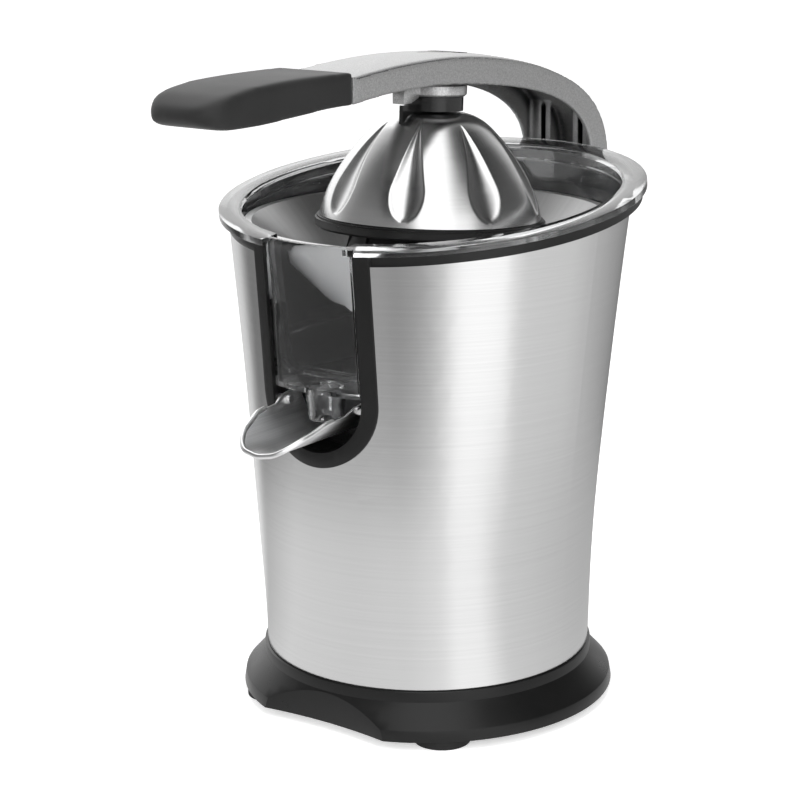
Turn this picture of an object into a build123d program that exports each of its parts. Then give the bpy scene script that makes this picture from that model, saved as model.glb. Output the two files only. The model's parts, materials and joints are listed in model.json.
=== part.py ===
from build123d import *
import os
from math import acos, cos, pi, radians, sin, sqrt, tan

# Electric citrus press with a lever, as separate pieces. Millimetres.
# The origin lies on the table under the centre of the base. +Z is up, the
# spout points to -Y, the lever hinges at +Y, and X = 0 is the middle plane.

os.makedirs("parts", exist_ok=True)

UPRIGHT = (Align.CENTER, Align.CENTER, Align.MIN)
HANGING = (Align.CENTER, Align.CENTER, Align.MAX)

# ---------------------------------------------------------------- clearances
RUN_FIT = 0.05          # radial gap of a shaft or pin that turns or slides
SEAT_GAP = 0.05         # gap between pieces that are seated on each other
SIDE_GAP = 0.30         # gap between pieces that pass each other
CUT_PAST = 5.0          # how far a cutting form runs past the piece it cuts

# ---------------------------------------------------------------------- feet
FOOT_RADIUS = 13.0
FOOT_HEIGHT = 4.0
FOOT_SPACING_X = 100.0
FOOT_SPACING_Y = 114.0
FOOT_PLUG_RADIUS = 5.0
FOOT_PLUG_HEIGHT = 3.4

# ---------------------------------------------------------------------- base
BASE_BOTTOM_RADIUS = 89.4
BASE_WALL_RADIUS = 88.5
BASE_WALL_HEIGHT = 5.2       # upright wall above the feet
BASE_SKIRT_HEIGHT = 10.1     # sloping skirt above the wall
BASE_RING_HEIGHT = 4.9       # upright ring above the skirt
BASE_THICKNESS = 2.5
FRONT_CUT_DEPTH = 79.6       # distance of the concave front face from the middle
FRONT_CUT_RADIUS = 227.0
COVER_THICKNESS = 2.4
BASE_SCREW_CIRCLE = 66.0
SCREW_RADIUS = 1.5
SCREW_HEAD_RADIUS = 2.8
SCREW_HEAD_HEIGHT = 1.6
BOSS_RADIUS = 3.6
POST_CIRCLE = 63.0
POST_ANGLES = (30, 150, 225, 315)
POST_RADIUS = 4.0
POST_SPIGOT_RADIUS = 2.4

base_bottom = FOOT_HEIGHT
base_top = base_bottom + BASE_WALL_HEIGHT + BASE_SKIRT_HEIGHT + BASE_RING_HEIGHT

# ---------------------------------------------------------------------- body
BODY_FOOT_RADIUS = 77.7
BODY_TOP_RADIUS = 96.8
BODY_FORM_HEIGHT = 237.2     # height over which the radius grows to its top value
BODY_FLARE_POWER = 1.4
BODY_LEAN_START = 100.0      # the round section moves to the rear above this height
BODY_LEAN_SLOPE = 0.031
BODY_GAP = 0.6               # shadow gap between base and jacket
JACKET_THICKNESS = 0.8
HOUSING_THICKNESS = 1.9
BODY_SECTIONS = 7

body_bottom = base_top + BODY_GAP
body_form_top = body_bottom + BODY_FORM_HEIGHT
form_low = body_bottom - CUT_PAST
form_high = body_form_top + CUT_PAST
housing_outset = JACKET_THICKNESS + 0.1
housing_inset = housing_outset + HOUSING_THICKNESS

# ----------------------------------------------------------------------- lip
LIP_HEIGHT = 240.9           # height of the tilted lip plane at Y = 0
LIP_TILT = 6.33
LIP_OVERHANG = 3.2           # reach of the lip past the jacket's top
LIP_CENTER = 6.9             # along the tilted plane, from Y = 0
LIP_THICKNESS = 3.0
TRIM_OVERHANG = 0.2          # reach of the trim ring past the jacket's top
TRIM_CENTER = 8.2
TRIM_WIDTH = 3.9
TRIM_DEPTH = 8.4             # lower edge of the trim ring below the lip plane

lip_radius = BODY_TOP_RADIUS + LIP_OVERHANG
trim_radius = BODY_TOP_RADIUS + TRIM_OVERHANG
lip_normal = Vector(0, -sin(radians(LIP_TILT)), cos(radians(LIP_TILT)))
lip_plane = Plane(origin=(0, 0, LIP_HEIGHT), x_dir=(1, 0, 0), z_dir=lip_normal)

# ---------------------------------------------------------- window and spout
WINDOW_CENTER = 160.5        # height of the round lower end's centre
FRAME_HALF_WIDTH = 32.2
FRAME_OPENING = 25.2         # half-width of the opening
FRAME_PROUD = 1.0
FRAME_DEPTH = 4.0
POCKET_WALL = 2.0
POCKET_BACK = -65.0
SPOUT_RADIUS = 22.0
SPOUT_THICKNESS = 1.0
SPOUT_CENTER = 164.0         # height of the trough's own axis
SPOUT_BACK = -68.0
SPOUT_FRONT = -124.0
PIVOT_Y = -77.5
PIVOT_Z = 156.0
PIVOT_RADIUS = 1.8
PIVOT_EAR_RADIUS = 3.6

# ------------------------------------------------------------ bowl and sieve
AXIS_Y = 5.0                 # the reamer's axis
BOWL_WALL = 1.8
BOWL_FLOOR = 166.0           # underside of the bowl's floor
BOWL_FLOOR_THICKNESS = 2.0
BOWL_GAP = 0.35
CHUTE_HALF_WIDTH = 24.0
CHUTE_BOTTOM = 162.5
CHUTE_BACK = -62.0
LIP_NOTCH = 22.5             # half-width of the notch in the lip at the spout
NOZZLE_Y = -75.0
NOZZLE_TOP_RADIUS = 9.5
NOZZLE_TIP_RADIUS = 8.0
NOZZLE_WALL = 1.6
NOZZLE_TIP = 149.5
CHIMNEY_RADIUS = 13.0
CHIMNEY_WALL = 2.0
CHIMNEY_HEIGHT = 20.0
DECK_THICKNESS = 3.4
DECK_LEDGE = 5.0
SIEVE_RIM_HEIGHT = 229.5
SIEVE_DEPTH = 35.0
SIEVE_THICKNESS = 0.8
SIEVE_FLOOR_RADIUS = 50.0
SIEVE_HOLE_RADIUS = 20.0
SIEVE_LEDGE = 1.6            # step in the bowl that carries the sieve's rim
SIEVE_SLOTS = 24
SIEVE_SLOT_LENGTH = 18.0
SIEVE_SLOT_WIDTH = 2.0


def body_radius(height):
    """Radius of the jacket's outside at a height above the table."""
    rise = max(0.0, (height - body_bottom) / BODY_FORM_HEIGHT)
    return BODY_FOOT_RADIUS + (BODY_TOP_RADIUS - BODY_FOOT_RADIUS) * rise ** BODY_FLARE_POWER


def body_center(height):
    """Y of the middle of the body's round section at a height."""
    return max(0.0, height - BODY_LEAN_START) * BODY_LEAN_SLOPE


def body_form(inset, low=form_low, high=form_high):
    """Solid of the leaning, flaring body, moved in by inset, between two heights."""
    with BuildPart() as form:
        for index in range(BODY_SECTIONS):
            height = form_low + (form_high - form_low) * index / (BODY_SECTIONS - 1)
            with BuildSketch(Plane((0, body_center(height), height))):
                Circle(body_radius(height) - inset)
        loft()
        split(bisect_by=Plane.XY.offset(low), keep=Keep.TOP)
        split(bisect_by=Plane.XY.offset(high), keep=Keep.BOTTOM)
    return form.part


def window_form(half_width, back, height):
    """U-shaped prism that runs forward from Y = back, open upwards to a height."""
    with BuildPart() as form:
        with BuildSketch(Plane.XZ.offset(-back)):
            with Locations((0, WINDOW_CENTER)):
                Circle(half_width)
                Rectangle(2 * half_width, height - WINDOW_CENTER,
                          align=(Align.CENTER, Align.MIN))
        extrude(amount=lip_radius)
    return form.part


def screw(length, head_radius=SCREW_HEAD_RADIUS):
    """Pan-head screw with its head's underside at Z = 0 and its shank below."""
    with BuildPart() as piece:
        Cylinder(SCREW_RADIUS, length, align=HANGING)
        Cylinder(head_radius, SCREW_HEAD_HEIGHT, align=UPRIGHT)
        with BuildSketch(Plane.XY.offset(SCREW_HEAD_HEIGHT)):
            Rectangle(1.4 * head_radius, 0.6)
            Rectangle(0.6, 1.4 * head_radius)
        extrude(amount=-0.7, mode=Mode.SUBTRACT)
    return piece.part


def finish(builder, label):
    """Label a finished piece and write its STEP file."""
    builder.part.label = label
    export_step(builder.part, f"parts/{label}.step")


# ------------------------------------------------------------------ the feet
foot_places = GridLocations(FOOT_SPACING_X, FOOT_SPACING_Y, 2, 2).locations
cover_bottom = base_bottom
cover_top = cover_bottom + COVER_THICKNESS

with BuildPart() as rubber_feet:
    with Locations(foot_places):
        Cylinder(FOOT_RADIUS, FOOT_HEIGHT, align=UPRIGHT)
        Cylinder(FOOT_PLUG_RADIUS, FOOT_HEIGHT + FOOT_PLUG_HEIGHT, align=UPRIGHT)
finish(rubber_feet, "rubber_feet")

# ------------------------------------------------------------------ the base
skirt_bottom = base_bottom + BASE_WALL_HEIGHT
ring_bottom = skirt_bottom + BASE_SKIRT_HEIGHT
base_ring_radius = BODY_FOOT_RADIUS + 1.3


def base_form(inset, top_inset):
    """Base outline turned about Z, moved in by inset, cut by the concave front."""
    with BuildPart() as form:
        with BuildSketch(Plane.XZ):
            with BuildLine():
                Polyline(
                    (0, base_bottom - CUT_PAST),
                    (BASE_BOTTOM_RADIUS - inset, base_bottom - CUT_PAST),
                    (BASE_BOTTOM_RADIUS - inset, base_bottom),
                    (BASE_WALL_RADIUS - inset, skirt_bottom - 0.5 * inset),
                    (base_ring_radius - inset, ring_bottom - 0.5 * inset),
                    (base_ring_radius - inset, base_top - top_inset),
                    (0, base_top - top_inset),
                    close=True,
                )
            make_face()
        revolve(axis=Axis.Z)
        with Locations((0, -FRONT_CUT_DEPTH - FRONT_CUT_RADIUS, -CUT_PAST)):
            Cylinder(FRONT_CUT_RADIUS + inset, base_top + 2 * CUT_PAST, align=UPRIGHT,
                     mode=Mode.SUBTRACT)
    return form.part


base_outside = base_form(0, 0)
base_inside = base_form(BASE_THICKNESS, BASE_THICKNESS)
cover_outside = base_form(BASE_THICKNESS + SEAT_GAP, BASE_THICKNESS)
base_screw_places = PolarLocations(BASE_SCREW_CIRCLE, 4).locations
post_places = []
for angle in POST_ANGLES:
    post_places += PolarLocations(POST_CIRCLE, 1, start_angle=angle).locations
base_vent_places = PolarLocations(44, 12, start_angle=15).locations

with BuildPart() as base_shell:
    add(base_outside)
    add(base_inside, mode=Mode.SUBTRACT)
    split(bisect_by=Plane.XY.offset(base_bottom), keep=Keep.TOP)
    with BuildSketch(Plane.XY.offset(cover_top + SEAT_GAP)):
        with Locations(base_screw_places):
            Circle(BOSS_RADIUS)
            Circle(SCREW_RADIUS + RUN_FIT, mode=Mode.SUBTRACT)
    extrude(until=Until.NEXT)
    with BuildSketch(Plane.XY.offset(base_top)):
        with Locations(base_vent_places):
            SlotOverall(18, 4)
        with Locations(post_places):
            Circle(POST_SPIGOT_RADIUS + SEAT_GAP)
    extrude(amount=-BASE_THICKNESS, mode=Mode.SUBTRACT)
finish(base_shell, "base_shell")

with BuildPart() as bottom_cover:
    add(cover_outside)
    split(bisect_by=Plane.XY.offset(cover_top), keep=Keep.BOTTOM)
    split(bisect_by=Plane.XY.offset(cover_bottom), keep=Keep.TOP)
    with Locations(foot_places):
        Cylinder(FOOT_PLUG_RADIUS + SEAT_GAP, 3 * cover_top, mode=Mode.SUBTRACT)
    with Locations(base_screw_places):
        Cylinder(SCREW_RADIUS + RUN_FIT, 3 * cover_top, mode=Mode.SUBTRACT)
        with Locations((0, 0, cover_bottom)):
            Cylinder(SCREW_HEAD_RADIUS + RUN_FIT, SCREW_HEAD_HEIGHT + SEAT_GAP,
                     align=UPRIGHT, mode=Mode.SUBTRACT)
    with BuildSketch(Plane.XY.offset(cover_bottom)):
        with Locations(base_vent_places):
            SlotOverall(18, 3)
    extrude(amount=COVER_THICKNESS, mode=Mode.SUBTRACT)
finish(bottom_cover, "bottom_cover")

# ------------------------------------------------- jacket and inner housing
GLAND_HEIGHT = 45.0          # height of the cord's entry at the rear
GLAND_RADIUS = 6.0
GLAND_FLANGE_RADIUS = 8.5
GLAND_FLANGE = 2.5
GLAND_REACH = 3.0            # length of the gland past the housing's inside
GLAND_BORE = 3.6
GLAND_BORE_LENGTH = 2.0      # length of the narrow bore, from the gland's outer face
GLAND_THROAT = 4.6           # radius of the room for the cord's sleeve, inside the bore
HINGE_SCREW_REACH = 24.0     # length of the clearance holes for the hinge's screws

trim_plane = lip_plane.offset(-TRIM_DEPTH)
jacket_outside = body_form(0, low=body_bottom)
jacket_inside = body_form(JACKET_THICKNESS)
window_cut = window_form(FRAME_HALF_WIDTH + SEAT_GAP, CHUTE_BACK + 2.0, form_high)
gland_plane = Plane.XZ.offset(-body_radius(GLAND_HEIGHT) + CUT_PAST)
hinge_screw_places = [(x, z) for x in (-13.0, 13.0) for z in (108.0, 142.0)]


def rear_wall(x, z, inset):
    """Y of the rear of the body form at a place, moved in by inset."""
    return body_center(z) + sqrt((body_radius(z) - inset) ** 2 - x ** 2)


with BuildPart() as hinge_screw_holes:
    for x, z in hinge_screw_places:
        with Locations((x, rear_wall(x, z, 0), z)):
            Cylinder(SCREW_RADIUS + RUN_FIT, HINGE_SCREW_REACH, rotation=(90, 0, 0))

with BuildPart() as steel_jacket:
    add(jacket_outside)
    add(jacket_inside, mode=Mode.SUBTRACT)
    split(bisect_by=trim_plane, keep=Keep.BOTTOM)
    add(window_cut, mode=Mode.SUBTRACT)
    add(hinge_screw_holes.part, mode=Mode.SUBTRACT)
    with BuildSketch(gland_plane):
        with Locations((0, GLAND_HEIGHT)):
            Circle(GLAND_RADIUS + SEAT_GAP)
    extrude(amount=-3 * CUT_PAST, mode=Mode.SUBTRACT)
finish(steel_jacket, "steel_jacket")

deck_top = BOWL_FLOOR - SEAT_GAP
ledge_top = deck_top - DECK_THICKNESS - SEAT_GAP
housing_outside = body_form(housing_outset, low=base_top)
housing_inside = body_form(housing_inset)
ledge_form = body_form(housing_inset - 0.5, ledge_top - DECK_LEDGE, ledge_top)
ledge_radius = body_radius(ledge_top) - housing_inset - DECK_LEDGE

with BuildPart() as inner_housing:
    add(housing_outside)
    add(housing_inside, mode=Mode.SUBTRACT)
    with Locations((0, 0, base_top)):
        Cylinder(BODY_FOOT_RADIUS, BODY_GAP - SEAT_GAP, align=UPRIGHT)
    with Locations((0, 0, base_top - CUT_PAST)):
        Cylinder(BODY_FOOT_RADIUS - housing_inset - 1.0, 3 * CUT_PAST, align=UPRIGHT,
                 mode=Mode.SUBTRACT)
    add(ledge_form)
    with Locations((0, body_center(ledge_top), ledge_top + CUT_PAST)):
        Cylinder(ledge_radius, 3 * DECK_LEDGE, align=HANGING, mode=Mode.SUBTRACT)
    split(bisect_by=trim_plane, keep=Keep.BOTTOM)
    add(window_cut, mode=Mode.SUBTRACT)
    add(hinge_screw_holes.part, mode=Mode.SUBTRACT)
    with BuildSketch(gland_plane):
        with Locations((0, GLAND_HEIGHT)):
            Circle(GLAND_RADIUS + SEAT_GAP)
    extrude(amount=-3 * CUT_PAST, mode=Mode.SUBTRACT)
finish(inner_housing, "inner_housing")

gland_seat = Plane.XZ.offset(-body_radius(GLAND_HEIGHT + GLAND_FLANGE_RADIUS) - SIDE_GAP)
with BuildPart() as cord_gland:
    with BuildSketch(gland_seat):
        with Locations((0, GLAND_HEIGHT)):
            Circle(GLAND_FLANGE_RADIUS)
    extrude(amount=-GLAND_FLANGE)
    with BuildSketch(gland_seat):
        with Locations((0, GLAND_HEIGHT)):
            Circle(GLAND_RADIUS)
    extrude(amount=housing_inset + GLAND_REACH)
    with BuildSketch(gland_seat.offset(-GLAND_FLANGE)):
        with Locations((0, GLAND_HEIGHT)):
            Circle(GLAND_BORE)
    extrude(amount=GLAND_FLANGE, mode=Mode.SUBTRACT)
    with BuildSketch(gland_seat.offset(GLAND_BORE_LENGTH - GLAND_FLANGE)):
        with Locations((0, GLAND_HEIGHT)):
            Circle(GLAND_THROAT)
    extrude(amount=GLAND_FLANGE + housing_inset + GLAND_REACH, mode=Mode.SUBTRACT)
finish(cord_gland, "cord_gland")

# ------------------------------------------------------- trim ring and frame
lip_underside = lip_plane.offset(-LIP_THICKNESS - SEAT_GAP)
trim_height = TRIM_DEPTH - LIP_THICKNESS - 2 * SEAT_GAP

with BuildPart() as upper_trim_ring:
    with BuildSketch(trim_plane.offset(SEAT_GAP)):
        with Locations((0, TRIM_CENTER)):
            Circle(trim_radius)
            Circle(trim_radius - TRIM_WIDTH, mode=Mode.SUBTRACT)
    extrude(amount=trim_height)
    add(window_cut, mode=Mode.SUBTRACT)
finish(upper_trim_ring, "upper_trim_ring")



def cross_rod(radius, reach, y, z):
    """Rod along X through both sides of the object."""
    with BuildPart() as rod:
        with Locations((0, y, z)):
            Cylinder(radius, 2 * reach, rotation=(0, 90, 0))
    return rod.part


pin_reach = FRAME_OPENING + 4.0
pivot_bore = cross_rod(PIVOT_RADIUS + SEAT_GAP, pin_reach + SEAT_GAP, PIVOT_Y, PIVOT_Z)
frame_outside = body_form(-FRAME_PROUD)
frame_inside = body_form(FRAME_DEPTH)
frame_outline = window_form(FRAME_HALF_WIDTH, CHUTE_BACK, form_high)
frame_opening = window_form(FRAME_OPENING, CHUTE_BACK, form_high + CUT_PAST)

with BuildPart() as window_frame:
    add(frame_outline)
    add(frame_outside, mode=Mode.INTERSECT)
    add(frame_inside, mode=Mode.SUBTRACT)
    add(frame_opening, mode=Mode.SUBTRACT)
    split(bisect_by=lip_underside, keep=Keep.BOTTOM)
    add(pivot_bore, mode=Mode.SUBTRACT)
finish(window_frame, "window_frame")

pocket_top = CHUTE_BOTTOM - SEAT_GAP
pocket_outline = window_form(FRAME_OPENING + POCKET_WALL, POCKET_BACK + POCKET_WALL, pocket_top)
pocket_hollow = window_form(FRAME_OPENING, POCKET_BACK, pocket_top + FRAME_OPENING)
pocket_limit = body_form(FRAME_DEPTH + SEAT_GAP)

with BuildPart() as spout_pocket:
    add(pocket_outline)
    add(pocket_hollow, mode=Mode.SUBTRACT)
    split(bisect_by=Plane.XY.offset(pocket_top), keep=Keep.BOTTOM)
    add(pocket_limit, mode=Mode.INTERSECT)
    add(pivot_bore, mode=Mode.SUBTRACT)
finish(spout_pocket, "spout_pocket")

# -------------------------------------------------------------------- spout
spout_rim = (
    (SPOUT_BACK, PIVOT_Z + 1.0),
    (PIVOT_Y + PIVOT_EAR_RADIUS, PIVOT_Z + PIVOT_EAR_RADIUS),
    (PIVOT_Y - PIVOT_EAR_RADIUS, PIVOT_Z + PIVOT_EAR_RADIUS - 1.0),
    (PIVOT_Y - 9.0, PIVOT_Z - 0.4),
    (PIVOT_Y - 22.5, PIVOT_Z - 1.5),
    (PIVOT_Y - 34.5, PIVOT_Z - 6.0),
    (PIVOT_Y - 42.5, PIVOT_Z - 10.0),
    (SPOUT_FRONT + 1.0, PIVOT_Z - 13.0),
)

with BuildPart() as spout:
    with BuildSketch(Plane.XZ.offset(-SPOUT_BACK)):
        with Locations((0, SPOUT_CENTER)):
            Circle(SPOUT_RADIUS)
            Circle(SPOUT_RADIUS - SPOUT_THICKNESS, mode=Mode.SUBTRACT)
    extrude(amount=SPOUT_BACK - SPOUT_FRONT)
    with BuildSketch(Plane.YZ):
        with BuildLine():
            rim = Polyline(*spout_rim)
            Line(rim @ 1, (SPOUT_FRONT + 1.0, SPOUT_CENTER - SPOUT_RADIUS - CUT_PAST))
            Line((SPOUT_FRONT + 1.0, SPOUT_CENTER - SPOUT_RADIUS - CUT_PAST),
                 (SPOUT_BACK, SPOUT_CENTER - SPOUT_RADIUS - CUT_PAST))
            Line((SPOUT_BACK, SPOUT_CENTER - SPOUT_RADIUS - CUT_PAST), rim @ 0)
        make_face()
    extrude(amount=SPOUT_RADIUS + 1, both=True, mode=Mode.INTERSECT)
    with Locations((0, PIVOT_Y, PIVOT_Z)):
        Cylinder(PIVOT_RADIUS + RUN_FIT, 4 * SPOUT_RADIUS, rotation=(0, 90, 0), mode=Mode.SUBTRACT)
finish(spout, "spout")

pin_start = SPOUT_RADIUS - 4.0
with BuildPart() as spout_pins:
    add(cross_rod(PIVOT_RADIUS, pin_reach, PIVOT_Y, PIVOT_Z))
    Box(2 * pin_start, lip_radius * 2, lip_radius * 4, mode=Mode.SUBTRACT)
finish(spout_pins, "spout_pins")

# --------------------------------------------------------------- juice bowl
axis_section = Plane(origin=(0, AXIS_Y, 0), x_dir=(1, 0, 0), z_dir=(0, -1, 0))
reamer_axis = Axis((0, AXIS_Y, 0), (0, 0, 1))
bowl_high = form_high


def bowl_radius(height):
    """Outer radius of the bowl about the reamer's axis; it clears the housing."""
    return body_radius(height) + body_center(height) - AXIS_Y - housing_inset - BOWL_GAP


def turned(points, section=axis_section, axis=reamer_axis):
    """Solid of a closed outline of (radius, height) points turned about an axis."""
    with BuildPart() as form:
        with BuildSketch(section):
            with BuildLine():
                Polyline(*points, close=True)
            make_face()
        revolve(axis=axis)
    return form.part


def bowl_hollow(floor, corner):
    """Inside of the bowl: a step in the wall carries the sieve's rim."""
    wall_start = floor + corner
    lower_inset = BOWL_WALL + SIEVE_LEDGE
    return turned((
        (0, floor),
        (bowl_radius(wall_start) - lower_inset - corner, floor),
        (bowl_radius(wall_start) - lower_inset, wall_start),
        (bowl_radius(sieve_seat) - lower_inset, sieve_seat),
        (bowl_radius(sieve_seat) - BOWL_WALL, sieve_seat),
        (bowl_radius(bowl_high) - BOWL_WALL, bowl_high),
        (0, bowl_high),
    ))


def chute_form(inset, bottom):
    """Chute at the front: square-bottomed, with its front following the body."""
    half_width = CHUTE_HALF_WIDTH - inset
    with BuildPart() as form:
        with Locations((0, CHUTE_BACK, bottom)):
            Box(2 * half_width, lip_radius, form_high - bottom,
                align=(Align.CENTER, Align.MAX, Align.MIN))
        add(body_form(inset + SIDE_GAP), mode=Mode.INTERSECT)
    return form.part


sieve_seat = SIEVE_RIM_HEIGHT - SIEVE_THICKNESS - SEAT_GAP
sieve_radius = bowl_radius(SIEVE_RIM_HEIGHT) - BOWL_WALL - 0.4
bowl_floor_top = BOWL_FLOOR + BOWL_FLOOR_THICKNESS
bowl_corner = 6.0
wall_start = BOWL_FLOOR + bowl_corner
bowl_outside = turned((
    (0, BOWL_FLOOR),
    (bowl_radius(wall_start) - bowl_corner, BOWL_FLOOR),
    (bowl_radius(wall_start), wall_start),
    (bowl_radius(SIEVE_RIM_HEIGHT), SIEVE_RIM_HEIGHT),
    (bowl_radius(bowl_high), bowl_high),
    (0, bowl_high),
))
chute_outside = chute_form(0, CHUTE_BOTTOM)
chute_inside = chute_form(BOWL_WALL, CHUTE_BOTTOM + BOWL_FLOOR_THICKNESS)
nozzle_section = Plane(origin=(0, NOZZLE_Y, 0), x_dir=(1, 0, 0), z_dir=(0, -1, 0))
nozzle_axis = Axis((0, NOZZLE_Y, 0), (0, 0, 1))
nozzle_outside = turned((
    (0, NOZZLE_TIP), (NOZZLE_TIP_RADIUS, NOZZLE_TIP),
    (NOZZLE_TOP_RADIUS, CHUTE_BOTTOM + 0.5), (0, CHUTE_BOTTOM + 0.5),
), nozzle_section, nozzle_axis)
nozzle_inside = turned((
    (0, NOZZLE_TIP - 1), (NOZZLE_TIP_RADIUS - NOZZLE_WALL, NOZZLE_TIP - 1),
    (NOZZLE_TOP_RADIUS - NOZZLE_WALL, bowl_floor_top), (0, bowl_floor_top),
), nozzle_section, nozzle_axis)

notch_depth = 12.0
with BuildPart() as juice_bowl:
    add(bowl_outside)
    add(chute_outside)
    add(nozzle_outside)
    split(bisect_by=lip_plane, keep=Keep.BOTTOM)
    with BuildSketch(lip_plane):
        with Locations((0, LIP_CENTER)):
            Circle(lip_radius)
        with Locations((0, LIP_CENTER - lip_radius)):
            Rectangle(2 * LIP_NOTCH, 2 * notch_depth, mode=Mode.SUBTRACT)
    extrude(amount=-LIP_THICKNESS)
    add(bowl_hollow(bowl_floor_top, bowl_corner), mode=Mode.SUBTRACT)
    add(chute_inside, mode=Mode.SUBTRACT)
    add(nozzle_inside, mode=Mode.SUBTRACT)
    with Locations((0, AXIS_Y, BOWL_FLOOR)):
        Cylinder(CHIMNEY_RADIUS, CHIMNEY_HEIGHT, align=UPRIGHT)
        Cylinder(CHIMNEY_RADIUS - CHIMNEY_WALL, 3 * CHIMNEY_HEIGHT, mode=Mode.SUBTRACT)
finish(juice_bowl, "juice_bowl")

# --------------------------------------------------------------- bowl's deck
SEAL_RADIUS = 11.0
SEAL_HEIGHT = 5.0
SHAFT_RADIUS = 5.0

deck_bottom = deck_top - DECK_THICKNESS
with BuildPart() as bowl_deck:
    add(body_form(housing_inset + SIDE_GAP, deck_bottom, deck_top))
    with Locations((0, CHUTE_BACK + SEAT_GAP, deck_top + 1)):
        Box(2 * FRAME_HALF_WIDTH + 1, lip_radius, 3 * DECK_THICKNESS,
            align=(Align.CENTER, Align.MAX, Align.MAX), mode=Mode.SUBTRACT)
    with Locations((0, AXIS_Y, deck_top)):
        Cylinder(SEAL_RADIUS + 3.0, SEAL_HEIGHT + 2.0, align=HANGING)
    with Locations((0, AXIS_Y, deck_top)):
        Cylinder(SEAL_RADIUS + SEAT_GAP, SEAL_HEIGHT + SEAT_GAP, align=HANGING,
                 mode=Mode.SUBTRACT)
        Cylinder(SEAL_RADIUS - 2.0, 4 * SEAL_HEIGHT, mode=Mode.SUBTRACT)
finish(bowl_deck, "bowl_deck")

with BuildPart() as shaft_seal:
    with Locations((0, AXIS_Y, deck_top - SEAT_GAP)):
        Cylinder(SEAL_RADIUS, SEAL_HEIGHT - SEAT_GAP, align=HANGING)
        Cylinder(SHAFT_RADIUS + SIDE_GAP, 3 * SEAL_HEIGHT, mode=Mode.SUBTRACT)
finish(shaft_seal, "shaft_seal")

# -------------------------------------------------------------------- sieve
sieve_floor = SIEVE_RIM_HEIGHT - SIEVE_DEPTH
sieve_rim_width = 3.5
with BuildPart() as juice_sieve:
    add(turned((
        (sieve_radius, SIEVE_RIM_HEIGHT),
        (sieve_radius - sieve_rim_width, SIEVE_RIM_HEIGHT),
        (SIEVE_FLOOR_RADIUS, sieve_floor),
        (SIEVE_HOLE_RADIUS, sieve_floor + 2.0),
        (SIEVE_HOLE_RADIUS, sieve_floor + 2.0 - SIEVE_THICKNESS),
        (SIEVE_FLOOR_RADIUS, sieve_floor - SIEVE_THICKNESS),
        (sieve_radius - sieve_rim_width, SIEVE_RIM_HEIGHT - 1.4 * SIEVE_THICKNESS),
        (sieve_radius - sieve_rim_width + 0.6, SIEVE_RIM_HEIGHT - SIEVE_THICKNESS),
        (sieve_radius, SIEVE_RIM_HEIGHT - SIEVE_THICKNESS),
    )))
    with BuildSketch(Plane((0, AXIS_Y, sieve_floor + CUT_PAST))):
        with PolarLocations(SIEVE_HOLE_RADIUS + 5 + SIEVE_SLOT_LENGTH / 2, SIEVE_SLOTS):
            SlotOverall(SIEVE_SLOT_LENGTH, SIEVE_SLOT_WIDTH)
    extrude(amount=-3 * CUT_PAST, mode=Mode.SUBTRACT)
finish(juice_sieve, "juice_sieve")

# -------------------------------------------------------------- drive train
# The motor's pinion turns the large wheel of the idler; the idler's small
# pinion turns the output gear on the reamer's shaft.
FAST_MODULE = 1.0
PINION_TEETH = 12
WHEEL_TEETH = 48
SLOW_MODULE = 1.25
IDLER_TEETH = 14
OUTPUT_TEETH = 56
PRESSURE_ANGLE = 25.0
ADDENDUM = 0.9               # in modules
DEDENDUM = 1.15              # in modules
TOOTH_SLACK = 0.08           # taken off each flank
IDLER_DIRECTION = -30.0      # seen from the output shaft
MOTOR_DIRECTION = 200.0      # seen from the idler
GEARBOX_BOTTOM = 96.0
GEARBOX_FLOOR = 3.0
GEARBOX_RADIUS = 71.0
GEARBOX_WALL = 2.5
GEARBOX_HEIGHT = 28.0
GEARBOX_COVER = 3.0
GEARBOX_SCREW_CIRCLE = 65.0
WHEEL_WIDTH = 6.0
PINION_WIDTH = 7.0
IDLER_WIDTH = 16.0
OUTPUT_WIDTH = 8.0
OUTPUT_LIFT = 13.0           # underside of the output gear above the gearbox floor
AXLE_RADIUS = 3.0
BUSH_WALL = 3.0
PRESS_TRAVEL = 2.0           # how far the reamer sinks to start the motor
HUB_RADIUS = 9.0
SLEEVE_RADIUS = 9.0
GUIDE_WALL = 3.0
GUIDE_HEIGHT = 17.0
SPRING_WIRE = 0.7
SPRING_TURNS = 4
FLANGE_THICKNESS = 2.0
FLANGE_RADIUS = 15.5

fast_distance = FAST_MODULE * (PINION_TEETH + WHEEL_TEETH) / 2
slow_distance = SLOW_MODULE * (IDLER_TEETH + OUTPUT_TEETH) / 2
idler_x = slow_distance * cos(radians(IDLER_DIRECTION))
idler_y = AXIS_Y + slow_distance * sin(radians(IDLER_DIRECTION))
motor_x = idler_x + fast_distance * cos(radians(MOTOR_DIRECTION))
motor_y = idler_y + fast_distance * sin(radians(MOTOR_DIRECTION))
output_place = (0, AXIS_Y)
idler_place = (idler_x, idler_y)
motor_place = (motor_x, motor_y)

floor_top = GEARBOX_BOTTOM + GEARBOX_FLOOR
wall_top = GEARBOX_BOTTOM + GEARBOX_HEIGHT
cover_underside = wall_top + SEAT_GAP
cover_upper = cover_underside + GEARBOX_COVER
wheel_bottom = floor_top + 2.0
wheel_top = wheel_bottom + WHEEL_WIDTH
idler_pinion_bottom = wheel_top + SEAT_GAP
output_bottom = floor_top + OUTPUT_LIFT
output_top = output_bottom + OUTPUT_WIDTH
hub_bottom = output_bottom - 5.0
hub_top = output_top + 2.0
guide_top = cover_upper + GUIDE_HEIGHT
flange_bottom = guide_top + PRESS_TRAVEL + 1.0
flange_top = flange_bottom + FLANGE_THICKNESS


def involute(angle):
    """Involute function of a pressure angle in radians."""
    return tan(angle) - angle


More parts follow.
